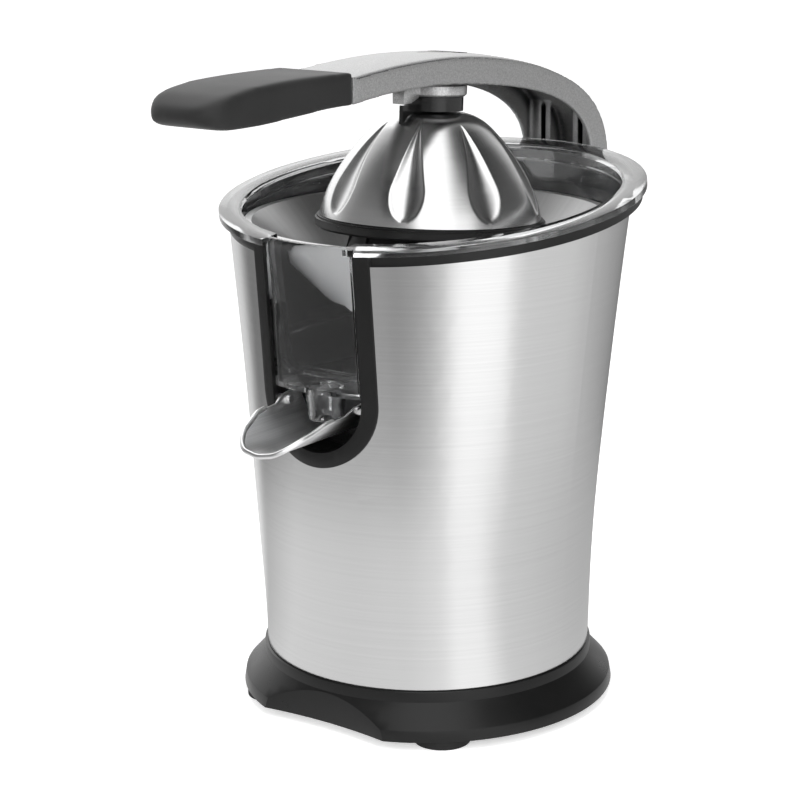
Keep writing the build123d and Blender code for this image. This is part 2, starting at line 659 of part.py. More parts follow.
def gear_points(teeth, module, tooth_direction):
    """Corner points of a spur gear with one tooth pointing in a direction."""
    pitch_radius = module * teeth / 2
    base_radius = pitch_radius * cos(radians(PRESSURE_ANGLE))
    root_radius = pitch_radius - DEDENDUM * module
    tip_radius = pitch_radius + ADDENDUM * module
    start_radius = max(base_radius, root_radius)
    flank = [start_radius, 0.5 * (start_radius + tip_radius), tip_radius]
    if start_radius > root_radius:
        flank = [root_radius] + flank
    half_pitch_angle = pi / 2 / teeth - TOOTH_SLACK / pitch_radius
    halves = []
    for radius in flank:
        pressure = acos(base_radius / max(radius, start_radius))
        half = half_pitch_angle + involute(radians(PRESSURE_ANGLE)) - involute(pressure)
        halves.append((radius, half))
    points = []
    for index in range(teeth):
        middle = radians(tooth_direction) + 2 * pi * index / teeth
        rising = [(radius, middle - half) for radius, half in halves]
        falling = [(radius, middle + half) for radius, half in reversed(halves)]
        for radius, angle in rising + falling:
            points.append((radius * cos(angle), radius * sin(angle)))
    return points


def gear(teeth, module, tooth_direction, width):
    """Solid spur gear about Z, its underside at Z = 0."""
    with BuildPart() as form:
        with BuildSketch():
            with BuildLine():
                Polyline(*gear_points(teeth, module, tooth_direction), close=True)
            make_face()
        extrude(amount=width)
    return form.part


def ring(outer, inner, low, high, place=(0, 0)):
    """Upright tube between two heights at an (x, y) place."""
    with BuildPart() as form:
        with Locations((place[0], place[1], low)):
            Cylinder(outer, high - low, align=UPRIGHT)
            Cylinder(inner, 3 * (high - low), mode=Mode.SUBTRACT)
    return form.part


output_gear_form = gear(OUTPUT_TEETH, SLOW_MODULE, IDLER_DIRECTION, OUTPUT_WIDTH)
idler_pinion_form = gear(IDLER_TEETH, SLOW_MODULE,
                         IDLER_DIRECTION + 180 + 180 / IDLER_TEETH, IDLER_WIDTH)
idler_wheel_form = gear(WHEEL_TEETH, FAST_MODULE, MOTOR_DIRECTION, WHEEL_WIDTH)
motor_pinion_form = gear(PINION_TEETH, FAST_MODULE,
                         MOTOR_DIRECTION + 180 + 180 / PINION_TEETH, PINION_WIDTH)

# -------------------------------------------------------------- the gearbox
gearbox_screw_places = PolarLocations(GEARBOX_SCREW_CIRCLE, 4).locations
floor_bush_radius = SHAFT_RADIUS + BUSH_WALL
bush_top = floor_top + 4.5

with BuildPart() as gearbox_housing:
    with Locations((0, 0, GEARBOX_BOTTOM)):
        Cylinder(GEARBOX_RADIUS, GEARBOX_HEIGHT, align=UPRIGHT)
    with Locations((0, 0, floor_top)):
        Cylinder(GEARBOX_RADIUS - GEARBOX_WALL, GEARBOX_HEIGHT, align=UPRIGHT,
                 mode=Mode.SUBTRACT)
    with BuildSketch(Plane.XY.offset(floor_top)):
        with Locations(gearbox_screw_places):
            Circle(BOSS_RADIUS)
    extrude(amount=GEARBOX_HEIGHT - GEARBOX_FLOOR)
    with BuildSketch(Plane.XY.offset(floor_top)):
        with Locations(output_place):
            Circle(floor_bush_radius + 3.0)
    extrude(amount=4.0)
    with BuildSketch(Plane.XY.offset(floor_top)):
        with Locations(idler_place):
            Circle(AXLE_RADIUS + 3.0)
    extrude(amount=1.75)
    with Locations((0, AXIS_Y, floor_top - 1.5)):
        Cylinder(floor_bush_radius + SEAT_GAP, 20.0, align=UPRIGHT, mode=Mode.SUBTRACT)
    with Locations((idler_x, idler_y, GEARBOX_BOTTOM)):
        Cylinder(AXLE_RADIUS + SEAT_GAP, 20.0, mode=Mode.SUBTRACT)
    with Locations((motor_x, motor_y, GEARBOX_BOTTOM)):
        Cylinder(FAST_MODULE * (PINION_TEETH / 2 + ADDENDUM) + 1.0, 20.0, mode=Mode.SUBTRACT)
    with BuildSketch(Plane.XY.offset(wall_top)):
        with Locations(gearbox_screw_places):
            Circle(SCREW_RADIUS + RUN_FIT)
    extrude(amount=-GEARBOX_HEIGHT + 6.0, mode=Mode.SUBTRACT)
    with BuildSketch(Plane.XY.offset(floor_top)):
        with Locations(post_places):
            Circle(SCREW_RADIUS + RUN_FIT)
    extrude(amount=-GEARBOX_FLOOR, mode=Mode.SUBTRACT)
finish(gearbox_housing, "gearbox_housing")

with BuildPart() as gearbox_cover:
    with Locations((0, 0, cover_underside)):
        Cylinder(GEARBOX_RADIUS, GEARBOX_COVER, align=UPRIGHT)
    with Locations((0, AXIS_Y, cover_underside)):
        Cylinder(SLEEVE_RADIUS + RUN_FIT + GUIDE_WALL, GEARBOX_COVER + GUIDE_HEIGHT,
                 align=UPRIGHT)
        Cylinder(SLEEVE_RADIUS + RUN_FIT, 4 * GUIDE_HEIGHT, mode=Mode.SUBTRACT)
    with Locations((idler_x, idler_y, cover_underside)):
        Cylinder(AXLE_RADIUS + SEAT_GAP, 2.0, align=UPRIGHT, mode=Mode.SUBTRACT)
    with BuildSketch(Plane.XY.offset(cover_underside)):
        with Locations(gearbox_screw_places):
            Circle(SCREW_RADIUS + RUN_FIT)
    extrude(amount=GEARBOX_COVER, mode=Mode.SUBTRACT)
finish(gearbox_cover, "gearbox_cover")

with BuildPart() as support_posts:
    for place in post_places:
        with Locations(Pos(0, 0, base_top + SEAT_GAP) * place):
            Cylinder(POST_RADIUS, GEARBOX_BOTTOM - base_top - 2 * SEAT_GAP, align=UPRIGHT)
            Cylinder(POST_SPIGOT_RADIUS, BASE_THICKNESS, align=HANGING)
        with Locations(Pos(0, 0, GEARBOX_BOTTOM) * place):
            Cylinder(SCREW_RADIUS + RUN_FIT, 24.0, mode=Mode.SUBTRACT)
finish(support_posts, "support_posts")

short_screw = screw(12.0)
with BuildPart() as short_screws:
    for place in base_screw_places:
        head_place = Pos(0, 0, cover_bottom + SCREW_HEAD_HEIGHT) * place
        add(head_place * Rot(180, 0, 0) * short_screw)
    for place in post_places:
        add(Pos(0, 0, floor_top + SEAT_GAP) * place * short_screw)
finish(short_screws, "short_screws")

with BuildPart() as output_bush:
    add(ring(floor_bush_radius, SHAFT_RADIUS + RUN_FIT, floor_top - 1.5 + SEAT_GAP, bush_top,
             output_place))
finish(output_bush, "output_bush")

with BuildPart() as idler_axle:
    with Locations((idler_x, idler_y, GEARBOX_BOTTOM)):
        Cylinder(AXLE_RADIUS, GEARBOX_HEIGHT + 1.5, align=UPRIGHT)
finish(idler_axle, "idler_axle")

# ---------------------------------------------------------- gears and shafts
wheel_bore = AXLE_RADIUS + BUSH_WALL
with BuildPart() as idler_wheel:
    add(Pos(idler_x, idler_y, wheel_bottom) * idler_wheel_form)
    with Locations((idler_x, idler_y, wheel_bottom)):
        Cylinder(wheel_bore + SEAT_GAP, 4 * WHEEL_WIDTH, mode=Mode.SUBTRACT)
    with BuildSketch(Plane((idler_x, idler_y, wheel_top))):
        with PolarLocations(15.5, 6):
            Circle(4.0)
    extrude(amount=-WHEEL_WIDTH, mode=Mode.SUBTRACT)
finish(idler_wheel, "idler_wheel")

with BuildPart() as idler_pinion:
    add(Pos(idler_x, idler_y, idler_pinion_bottom) * idler_pinion_form)
    with Locations((idler_x, idler_y, floor_top + 1.75 + RUN_FIT)):
        Cylinder(wheel_bore, wheel_top - floor_top - 1.75, align=UPRIGHT)
        Cylinder(AXLE_RADIUS + RUN_FIT, 4 * IDLER_WIDTH, mode=Mode.SUBTRACT)
finish(idler_pinion, "idler_pinion")

with BuildPart() as output_gear:
    add(Pos(0, AXIS_Y, output_bottom) * output_gear_form)
    with Locations((0, AXIS_Y, hub_bottom)):
        Cylinder(HUB_RADIUS, hub_top - hub_bottom, align=UPRIGHT)
        Cylinder(SHAFT_RADIUS + SEAT_GAP, 100.0, mode=Mode.SUBTRACT)
    with BuildSketch(Plane((0, AXIS_Y, output_top))):
        with PolarLocations(20.5, 6):
            Circle(6.0)
    extrude(amount=-OUTPUT_WIDTH, mode=Mode.SUBTRACT)
finish(output_gear, "output_gear")

COUPLING_RADIUS = 7.5
COUPLING_HEIGHT = 22.0
SHAFT_TOP = 192.0
shaft_bottom = floor_top - 1.5 + PRESS_TRAVEL + 1.0
collar_bottom = flange_top + RUN_FIT

with BuildPart() as drive_shaft:
    with Locations((0, AXIS_Y, shaft_bottom)):
        Cylinder(SHAFT_RADIUS, SHAFT_TOP - shaft_bottom, align=UPRIGHT)
    with Locations((0, AXIS_Y, collar_bottom)):
        Cylinder(SHAFT_RADIUS + 2.0, 2.0, align=UPRIGHT)
finish(drive_shaft, "drive_shaft")

with BuildPart() as drive_coupling:
    with BuildSketch(Plane((0, AXIS_Y, SHAFT_TOP - 4.0))):
        RegularPolygon(COUPLING_RADIUS, 6)
    extrude(amount=COUPLING_HEIGHT)
    with Locations((0, AXIS_Y, SHAFT_TOP - 4.0)):
        Cylinder(SHAFT_RADIUS + SEAT_GAP, 8.0 + 2 * SEAT_GAP, mode=Mode.SUBTRACT)
finish(drive_coupling, "drive_coupling")

# ------------------------------------------------------------- press carrier
sleeve_bottom = hub_top + RUN_FIT
switch_tab = 30.0            # reach of the tab over the switch, from the axis
with BuildPart() as press_sleeve:
    with Locations((0, AXIS_Y, sleeve_bottom)):
        Cylinder(SLEEVE_RADIUS, flange_top - sleeve_bottom, align=UPRIGHT)
    with Locations((0, AXIS_Y, flange_bottom)):
        Cylinder(FLANGE_RADIUS, FLANGE_THICKNESS, align=UPRIGHT)
        Box(switch_tab, 8.0, FLANGE_THICKNESS, align=(Align.MIN, Align.CENTER, Align.MIN))
    with Locations((0, AXIS_Y, sleeve_bottom)):
        Cylinder(SHAFT_RADIUS + RUN_FIT, 100.0, mode=Mode.SUBTRACT)
finish(press_sleeve, "press_sleeve")

spring_radius = SLEEVE_RADIUS + RUN_FIT + GUIDE_WALL + 0.4 + SPRING_WIRE
spring_low = cover_upper + SPRING_WIRE + SEAT_GAP
spring_high = flange_bottom - SPRING_WIRE - SEAT_GAP
with BuildPart() as return_spring:
    with BuildLine(Plane((0, AXIS_Y, spring_low))) as coil:
        Helix(pitch=(spring_high - spring_low) / SPRING_TURNS, height=spring_high - spring_low,
              radius=spring_radius)
    with BuildSketch(Plane(coil.line @ 0, z_dir=coil.line % 0)):
        Circle(SPRING_WIRE)
    sweep(path=coil.line, is_frenet=True)
finish(return_spring, "return_spring")

# ------------------------------------------------------------- start switch
SWITCH_WIDTH = 8.0
SWITCH_LENGTH = 13.0
SWITCH_HEIGHT = 14.0
PLUNGER_RADIUS = 1.2
switch_x = switch_tab - 1.0 - SWITCH_LENGTH / 2
switch_top = cover_upper + SEAT_GAP + SWITCH_HEIGHT
plunger_x = switch_tab - 4.0
plunger_top = flange_bottom - RUN_FIT
plunger_bottom = switch_top - 2.0
with BuildPart() as start_switch:
    with Locations((switch_x, AXIS_Y, cover_upper + SEAT_GAP)):
        Box(SWITCH_LENGTH, SWITCH_WIDTH, SWITCH_HEIGHT, align=UPRIGHT)
    with Locations((plunger_x, AXIS_Y, plunger_bottom - PRESS_TRAVEL - 1.0)):
        Cylinder(PLUNGER_RADIUS + RUN_FIT, 20.0, align=UPRIGHT, mode=Mode.SUBTRACT)
finish(start_switch, "start_switch")

with BuildPart() as switch_plunger:
    with Locations((plunger_x, AXIS_Y, plunger_bottom)):
        Cylinder(PLUNGER_RADIUS, plunger_top - plunger_bottom, align=UPRIGHT)
finish(switch_plunger, "switch_plunger")

# -------------------------------------------------------------------- motor
MOTOR_RADIUS = 33.5
MOTOR_WALL = 1.5
MOTOR_SHAFT_RADIUS = 3.0
MOTOR_BELL = 6.0
MOTOR_LENGTH = 64.0
STACK_HEIGHT = 30.0
STACK_BORE = 20.6
ROTOR_GAP = 0.6
WINDING_HEIGHT = 6.0

motor_top = GEARBOX_BOTTOM - SEAT_GAP
can_top = motor_top - MOTOR_BELL
motor_bottom = motor_top - MOTOR_LENGTH
can_bottom = motor_bottom + MOTOR_BELL
stack_bottom = can_bottom + 11.0
stack_top = stack_bottom + STACK_HEIGHT
bearing_radius = MOTOR_SHAFT_RADIUS + BUSH_WALL
rotor_radius = STACK_BORE - ROTOR_GAP
bell_lip = MOTOR_RADIUS - MOTOR_WALL - SEAT_GAP

with BuildPart() as motor_can:
    add(ring(MOTOR_RADIUS, MOTOR_RADIUS - MOTOR_WALL, can_bottom + SEAT_GAP, can_top - SEAT_GAP,
             motor_place))
finish(motor_can, "motor_can")

with BuildPart() as motor_end_bells:
    for outer_face, inner_face in ((motor_top, can_top), (motor_bottom, can_bottom)):
        bell_height = abs(outer_face - inner_face)
        inner_face_plane = Plane((motor_x, motor_y, inner_face), z_dir=(0, 0, outer_face - inner_face))
        with BuildSketch(inner_face_plane):
            Circle(MOTOR_RADIUS)
        extrude(amount=bell_height)
        with BuildSketch(inner_face_plane):
            Circle(bell_lip)
            Circle(bell_lip - 2.0, mode=Mode.SUBTRACT)
        extrude(amount=-3.0)
        with BuildSketch(inner_face_plane):
            Circle(bearing_radius + SEAT_GAP)
            with PolarLocations(20.0, 6, start_angle=30):
                SlotOverall(12, 4)
        extrude(amount=bell_height, mode=Mode.SUBTRACT)
finish(motor_end_bells, "motor_end_bells")

with BuildPart() as motor_bearings:
    for low in (motor_bottom, can_top):
        add(ring(bearing_radius, MOTOR_SHAFT_RADIUS + RUN_FIT, low, low + MOTOR_BELL, motor_place))
finish(motor_bearings, "motor_bearings")

with BuildPart() as stator_stack:
    add(ring(MOTOR_RADIUS - MOTOR_WALL - SEAT_GAP, STACK_BORE, stack_bottom, stack_top,
             motor_place))
finish(stator_stack, "stator_stack")

with BuildPart() as field_windings:
    for low in (stack_bottom - WINDING_HEIGHT - SEAT_GAP, stack_top + SEAT_GAP):
        add(ring(MOTOR_RADIUS - MOTOR_WALL - 2.5, STACK_BORE + 0.5, low, low + WINDING_HEIGHT,
                 motor_place))
finish(field_windings, "field_windings")

with BuildPart() as rotor_stack:
    add(ring(rotor_radius, MOTOR_SHAFT_RADIUS + SEAT_GAP, stack_bottom, stack_top, motor_place))
    with BuildSketch(Plane((motor_x, motor_y, stack_top))):
        with PolarLocations(rotor_radius, 12):
            Rectangle(7.0, 1.6)
    extrude(amount=-STACK_HEIGHT, mode=Mode.SUBTRACT)
finish(rotor_stack, "rotor_stack")

commutator_bottom = can_bottom + 0.5
commutator_top = stack_bottom - WINDING_HEIGHT - 2 * SEAT_GAP
with BuildPart() as rotor_windings:
    for low in (stack_bottom - WINDING_HEIGHT - SEAT_GAP, stack_top + SEAT_GAP):
        add(ring(rotor_radius - 3.0, MOTOR_SHAFT_RADIUS + SEAT_GAP, low, low + WINDING_HEIGHT,
                 motor_place))
finish(rotor_windings, "rotor_windings")

COMMUTATOR_RADIUS = 9.0
with BuildPart() as commutator:
    add(ring(COMMUTATOR_RADIUS, MOTOR_SHAFT_RADIUS + SEAT_GAP, commutator_bottom,
             commutator_top, motor_place))
    with BuildSketch(Plane((motor_x, motor_y, commutator_top))):
        with PolarLocations(COMMUTATOR_RADIUS, 12):
            Rectangle(2.0, 0.5)
    extrude(amount=commutator_bottom - commutator_top, mode=Mode.SUBTRACT)
finish(commutator, "commutator")

BRUSH_LENGTH = 14.0
BRUSH_WIDTH = 4.0
BRUSH_HEIGHT = 3.0
brush_height = 0.5 * (commutator_bottom + commutator_top)
brush_start = COMMUTATOR_RADIUS + RUN_FIT
holder_end = bell_lip - 2.0 - 4 * SEAT_GAP
with BuildPart() as carbon_brushes:
    for side in (-1, 1):
        with Locations((motor_x + side * (brush_start + BRUSH_LENGTH / 2), motor_y, brush_height)):
            Box(BRUSH_LENGTH, BRUSH_WIDTH, BRUSH_HEIGHT)
finish(carbon_brushes, "carbon_brushes")

with BuildPart() as brush_holders:
    for side in (-1, 1):
        holder_start = brush_start + 4.0
        holder_middle = motor_x + side * 0.5 * (holder_start + holder_end)
        with Locations((holder_middle, motor_y, brush_height)):
            Box(holder_end - holder_start, BRUSH_WIDTH + 1.4, BRUSH_HEIGHT + 1.0)
            Box(4 * MOTOR_RADIUS, BRUSH_WIDTH + 2 * SEAT_GAP, BRUSH_HEIGHT + 2 * SEAT_GAP,
                mode=Mode.SUBTRACT)
finish(brush_holders, "brush_holders")

with BuildPart() as motor_shaft:
    with Locations((motor_x, motor_y, motor_bottom - 2.0)):
        Cylinder(MOTOR_SHAFT_RADIUS, wheel_bottom + PINION_WIDTH + 0.5 - motor_bottom + 2.0,
                 align=UPRIGHT)
finish(motor_shaft, "motor_shaft")

with BuildPart() as motor_pinion:
    add(Pos(motor_x, motor_y, wheel_bottom) * motor_pinion_form)
    with Locations((motor_x, motor_y, wheel_bottom)):
        Cylinder(MOTOR_SHAFT_RADIUS + SEAT_GAP, 4 * PINION_WIDTH, mode=Mode.SUBTRACT)
finish(motor_pinion, "motor_pinion")

FAN_RADIUS = 26.0
FAN_HEIGHT = 3.5
fan_bottom = stack_top + WINDING_HEIGHT + 0.6
with BuildPart() as cooling_fan:
    with Locations((motor_x, motor_y, fan_bottom)):
        Cylinder(FAN_RADIUS, 1.0, align=UPRIGHT)
        Cylinder(MOTOR_SHAFT_RADIUS + 3.0, FAN_HEIGHT, align=UPRIGHT)
    with BuildSketch(Plane((motor_x, motor_y, fan_bottom))):
        with PolarLocations(0.5 * (FAN_RADIUS + 8.0), 9):
            Rectangle(FAN_RADIUS - 8.0, 1.2)
    extrude(amount=FAN_HEIGHT)
    with Locations((motor_x, motor_y, fan_bottom)):
        Cylinder(MOTOR_SHAFT_RADIUS + SEAT_GAP, 20.0, mode=Mode.SUBTRACT)
finish(cooling_fan, "cooling_fan")

# ------------------------------------------------------------ mains terminal
TERMINAL_SIZE = (24.0, 14.0, 12.0)
TERMINAL_PLACE = (-38.0, 34.0)
with BuildPart() as terminal_block:
    with Locations((TERMINAL_PLACE[0], TERMINAL_PLACE[1], base_top + SEAT_GAP)):
        Box(*TERMINAL_SIZE, align=UPRIGHT)
    with BuildSketch(Plane((*TERMINAL_PLACE, base_top + SEAT_GAP + TERMINAL_SIZE[2]))):
        with GridLocations(8.0, 8.0, 3, 2):
            Circle(1.6)
    extrude(amount=-5.0, mode=Mode.SUBTRACT)
finish(terminal_block, "terminal_block")

# ------------------------------------------------------------- rear hinge
HINGE_Y = 122.0
HINGE_Z = 225.0
HINGE_PIN_RADIUS = 3.5
BARREL_RADIUS = 9.0
CHEEK_THICKNESS = 4.0
CHEEK_RADIUS = 7.0
ARM_HALF_WIDTH = 20.7
SLOT_FRONT = 111.5           # front wall of the slot for the lever's post
SLOT_FLOOR = 214.0

slot_half_width = ARM_HALF_WIDTH + SIDE_GAP
cheek_reach = slot_half_width + CHEEK_THICKNESS
body_outset = body_form(-SEAT_GAP)

with BuildPart() as hinge_housing:
    with BuildSketch(Plane.YZ):
        with BuildLine():
            outline = Polyline(
                (HINGE_Y + CHEEK_RADIUS, HINGE_Z),
                (HINGE_Y + CHEEK_RADIUS, 168.0),
                (HINGE_Y - 3.0, 138.0),
                (86.0, 90.0),
                (70.0, 90.0),
                (70.0, 238.0),
                (SLOT_FRONT - 1.0, 238.0),
                (HINGE_Y - CHEEK_RADIUS, HINGE_Z),
            )
            ThreePointArc(outline @ 1, (HINGE_Y, HINGE_Z + CHEEK_RADIUS), outline @ 0)
        make_face()
    extrude(amount=cheek_reach, both=True)
    add(body_outset, mode=Mode.SUBTRACT)
    with BuildSketch(Plane.YZ):
        with BuildLine():
            Polyline((SLOT_FRONT, SLOT_FLOOR), (SLOT_FRONT, 260.0), (150.0, 260.0),
                     (150.0, SLOT_FLOOR - 4.0), (SLOT_FRONT + 8.0, SLOT_FLOOR), close=True)
        make_face()
    extrude(amount=slot_half_width, both=True, mode=Mode.SUBTRACT)
    add(cross_rod(HINGE_PIN_RADIUS + SEAT_GAP, cheek_reach + 1, HINGE_Y, HINGE_Z),
        mode=Mode.SUBTRACT)
    add(hinge_screw_holes.part, mode=Mode.SUBTRACT)
finish(hinge_housing, "hinge_housing")

with BuildPart() as hinge_pin:
    add(cross_rod(HINGE_PIN_RADIUS, cheek_reach - 0.5, HINGE_Y, HINGE_Z))
finish(hinge_pin, "hinge_pin")

long_screw = screw(14.0)
with BuildPart() as long_screws:
    for place in gearbox_screw_places:
        add(Pos(0, 0, cover_upper + SEAT_GAP) * place * long_screw)
    for x, z in hinge_screw_places:
        seat = rear_wall(abs(x) + SCREW_HEAD_RADIUS, z - SCREW_HEAD_RADIUS, housing_inset)
        add(Pos(x, seat - SEAT_GAP, z) * Rot(90, 0, 0) * long_screw)
finish(long_screws, "long_screws")

# -------------------------------------------------------------- lever's arm
ARM_WALL = 2.4
ARM_SIDE_WALL = 2.4
RIB_FRONT = 117.0            # upright ribs inside the bend start here
RIBS = ((-15.3, 6.2), (-8.3, 3.4), (8.3, 3.4), (15.3, 6.2))    # place and thickness
GRIP_SEAM = -77.5            # where the grip meets the bare arm
BUSH_RADIUS = 6.0

arm_top_points = [(GRIP_SEAM, 304.0), (-36.5, 306.6), (8.5, 305.6), (49.0, 300.1),
                  (90.6, 288.4), (118.5, 271.3), (130.1, 246.3)]
arm_under_points = [(113.4, 247.5), (108.7, 259.6), (90.8, 273.5), (62.6, 283.0),
                    (22.4, 290.0), (-33.0, 294.0), (GRIP_SEAM, 291.6)]


def arm_form(half_width, drop):
    """Bent arm seen from the side, without its barrel; its top lowered by drop."""
    top_points = [(y, z - drop) for y, z in arm_top_points[:-1]]
    top_points.append((arm_top_points[-1][0] - drop, arm_top_points[-1][1] - drop))
    with BuildPart() as form:
        with BuildSketch(Plane.YZ):
            with BuildLine():
                top = Spline(*top_points)
                under = Spline(*arm_under_points)
                Polyline(top @ 1, (HINGE_Y + BARREL_RADIUS - drop, HINGE_Z),
                         (HINGE_Y - BARREL_RADIUS, HINGE_Z), under @ 0)
                Line(under @ 1, top @ 0)
            make_face()
        extrude(amount=half_width, both=True)
    return form.part


def arm_cavity(half_width, drop):
    """Room under the arm's top wall, open below and inside the bend."""
    top_points = [(y, z - drop) for y, z in arm_top_points[:-1]]
    top_points.append((arm_top_points[-1][0] - drop, arm_top_points[-1][1]))
    with BuildPart() as form:
        with BuildSketch(Plane.YZ):
            with BuildLine():
                top = Spline(*top_points)
                Polyline(top @ 1, (HINGE_Y + BARREL_RADIUS - drop, HINGE_Z + BARREL_RADIUS + 3),
                         (60.0, HINGE_Z + BARREL_RADIUS + 3), (GRIP_SEAM, 260.0), top @ 0)
            make_face()
        extrude(amount=half_width, both=True)
    return form.part


# ---------------------------------------------------- dome, tilted on the arm
DOME_TILT = 3.8
DOME_BASE = 226.0            # height on the reamer's axis of the dome's own origin
DOME_WALL = 1.0
LINER_WALL = 2.0
DOME_RING_RADIUS = 54.0
DOME_RING_INNER = 46.0
DOME_SEAT_RADIUS = 53.0      # outside of the ring's upper step
STUD_RADIUS = 4.0
STUD_HEAD_RADIUS = 6.5
STUD_REACH = 9.0             # length of the stud above the boss
DOME_BOSS_RADIUS = 15.3
COLLAR_RADIUS = 13.8
COLLAR_LOW = 52.8            # above the dome's origin, along its axis
COLLAR_HIGH = 59.2
BOSS_LOW = 59.5
BOSS_HIGH = 65.2
LUG_HALF_WIDTH = 3.2
ARM_BOSS_RADIUS = 12.0

dome_direction = Vector(0, sin(radians(DOME_TILT)), cos(radians(DOME_TILT)))
dome_origin = Vector(0, AXIS_Y, DOME_BASE)
dome_axis = Axis(dome_origin, dome_direction)
dome_section = Plane(origin=dome_origin, x_dir=(1, 0, 0),
                     z_dir=(0, -dome_direction.Z, dome_direction.Y))
dome_plane = Plane(origin=dome_origin, x_dir=(1, 0, 0), z_dir=dome_direction)
dome_curve = [(52.0, 3.4), (50.0, 11.0), (44.5, 23.0), (36.5, 35.0), (30.0, 42.4),
              (23.5, 48.4), (15.0, 51.9), (7.0, 52.45), (0.0, 52.5)]


def dome_form(inset):
    """Solid of the dome's outside moved in by inset."""
    points = []
    for index, (radius, height) in enumerate(dome_curve):
        before = dome_curve[max(index - 1, 0)]
        after = dome_curve[min(index + 1, len(dome_curve) - 1)]
        along = Vector(after[0] - before[0], after[1] - before[1]).normalized()
        if index == len(dome_curve) - 1:
            along = Vector(-1, 0)
        points.append((radius - inset * along.Y, height + inset * along.X))
    points[0] = (points[0][0], dome_curve[0][1])
    with BuildPart() as form:
        with BuildSketch(dome_section):
            with BuildLine():
                curve = Spline(*points)
                Polyline(curve @ 1, (0, dome_curve[0][1]), curve @ 0)
            make_face()
        revolve(axis=dome_axis)
    return form.part


def dome_rod(radius, low, high):
    """Rod along the dome's axis between two distances from its origin."""
    with BuildPart() as form:
        with BuildSketch(dome_plane.offset(low)):
            Circle(radius)
        extrude(amount=high - low)
    return form.part


def dome_turned(points):
    """Solid turned about the dome's axis from (radius, distance) points."""
    return turned(points, dome_section, dome_axis)


# ------------------------------------------------------------------ the arm
INSERT_FRONT = -4.0
INSERT_REAR = 30.0
INSERT_HALF_WIDTH = 8.0
INSERT_DEPTH = 1.2
TONGUE_HALF_WIDTH = 14.0
TONGUE_LOW = 294.5
TONGUE_HIGH = 301.0
TONGUE_END = -158.0
GRIP_SCREW_LENGTH = 8.0

grip_screw_places = [(0, -98.0), (0, -145.0)]

arm_outside = arm_form(ARM_HALF_WIDTH, 0)
rib_front = Pos(0, 0, 1.5) * arm_form(ARM_HALF_WIDTH, 0)


def insert_form(margin):
    """Teardrop prism that runs up through the arm's top."""
    middle = INSERT_REAR - INSERT_HALF_WIDTH
    reach = INSERT_HALF_WIDTH + margin
    tip = INSERT_FRONT - margin
    lean = acos(reach / (middle - tip))
    tangent = (reach * sin(lean), middle - reach * cos(lean))
    with BuildPart() as form:
        with BuildSketch(Plane.XY.offset(280.0)):
            with BuildLine():
                Line((0, tip), tangent)
                ThreePointArc(tangent, (0, middle + reach), (-tangent[0], tangent[1]))
                Line((-tangent[0], tangent[1]), (0, tip))
            make_face()
        extrude(amount=40.0)
    return form.part


with BuildPart() as arm_ribs:
    for x, thickness in RIBS:
        with Locations((x, RIB_FRONT, HINGE_Z)):
            Box(thickness, 2 * BARREL_RADIUS, 2 * ARM_HALF_WIDTH + CUT_PAST,
                align=(Align.CENTER, Align.MIN, Align.MIN))
    add(dome_rod(ARM_BOSS_RADIUS, BOSS_HIGH + SEAT_GAP, BOSS_HIGH + 30))
    with Locations((0, GRIP_SEAM + 1.5, 300.0)):
        Box(2 * ARM_HALF_WIDTH, 3.0, 20.0)
    add(rib_front, mode=Mode.INTERSECT)
    add(arm_outside, mode=Mode.INTERSECT)

with BuildPart() as arm_barrel:
    add(cross_rod(BARREL_RADIUS, ARM_HALF_WIDTH, HINGE_Y, HINGE_Z))
    with Locations((0, HINGE_Y, HINGE_Z)):
        Box(2 * ARM_HALF_WIDTH, 2 * BARREL_RADIUS, BARREL_RADIUS + 4.0, align=UPRIGHT)

with BuildPart() as lever_arm:
    add(arm_outside)
    side_curves = lever_arm.edges().filter_by(GeomType.BSPLINE).filter_by(
        lambda edge: abs(edge.center().X) > 1)
    fillet(side_curves.sort_by(Axis.Z)[-2:], 3.0)
    add(arm_cavity(ARM_HALF_WIDTH - ARM_SIDE_WALL, ARM_WALL), mode=Mode.SUBTRACT)
    add(arm_ribs.part)
    add(arm_barrel.part)
    with Locations((0, GRIP_SEAM + 1.0, TONGUE_LOW)):
        Box(2 * TONGUE_HALF_WIDTH, GRIP_SEAM + 1.0 - TONGUE_END, TONGUE_HIGH - TONGUE_LOW,
            align=(Align.CENTER, Align.MAX, Align.MIN))
    for x, y in grip_screw_places:
        with Locations((x, y, TONGUE_LOW)):
            Cylinder(SCREW_RADIUS + RUN_FIT, 2 * GRIP_SCREW_LENGTH, mode=Mode.SUBTRACT)
    add(cross_rod(BUSH_RADIUS + SEAT_GAP, ARM_HALF_WIDTH + 1, HINGE_Y, HINGE_Z),
        mode=Mode.SUBTRACT)
    add(dome_rod(STUD_RADIUS + SEAT_GAP, BOSS_LOW, BOSS_HIGH + STUD_REACH + SEAT_GAP),
        mode=Mode.SUBTRACT)
    arm_recess = insert_form(SEAT_GAP) - (Pos(0, 0, -INSERT_DEPTH - SEAT_GAP) * arm_outside)
    add(arm_recess, mode=Mode.SUBTRACT)
finish(lever_arm, "lever_arm")

with BuildPart() as arm_insert:
    add(insert_form(0))
    add(arm_outside, mode=Mode.INTERSECT)
    add(Pos(0, 0, -INSERT_DEPTH) * arm_outside, mode=Mode.SUBTRACT)
finish(arm_insert, "arm_insert")

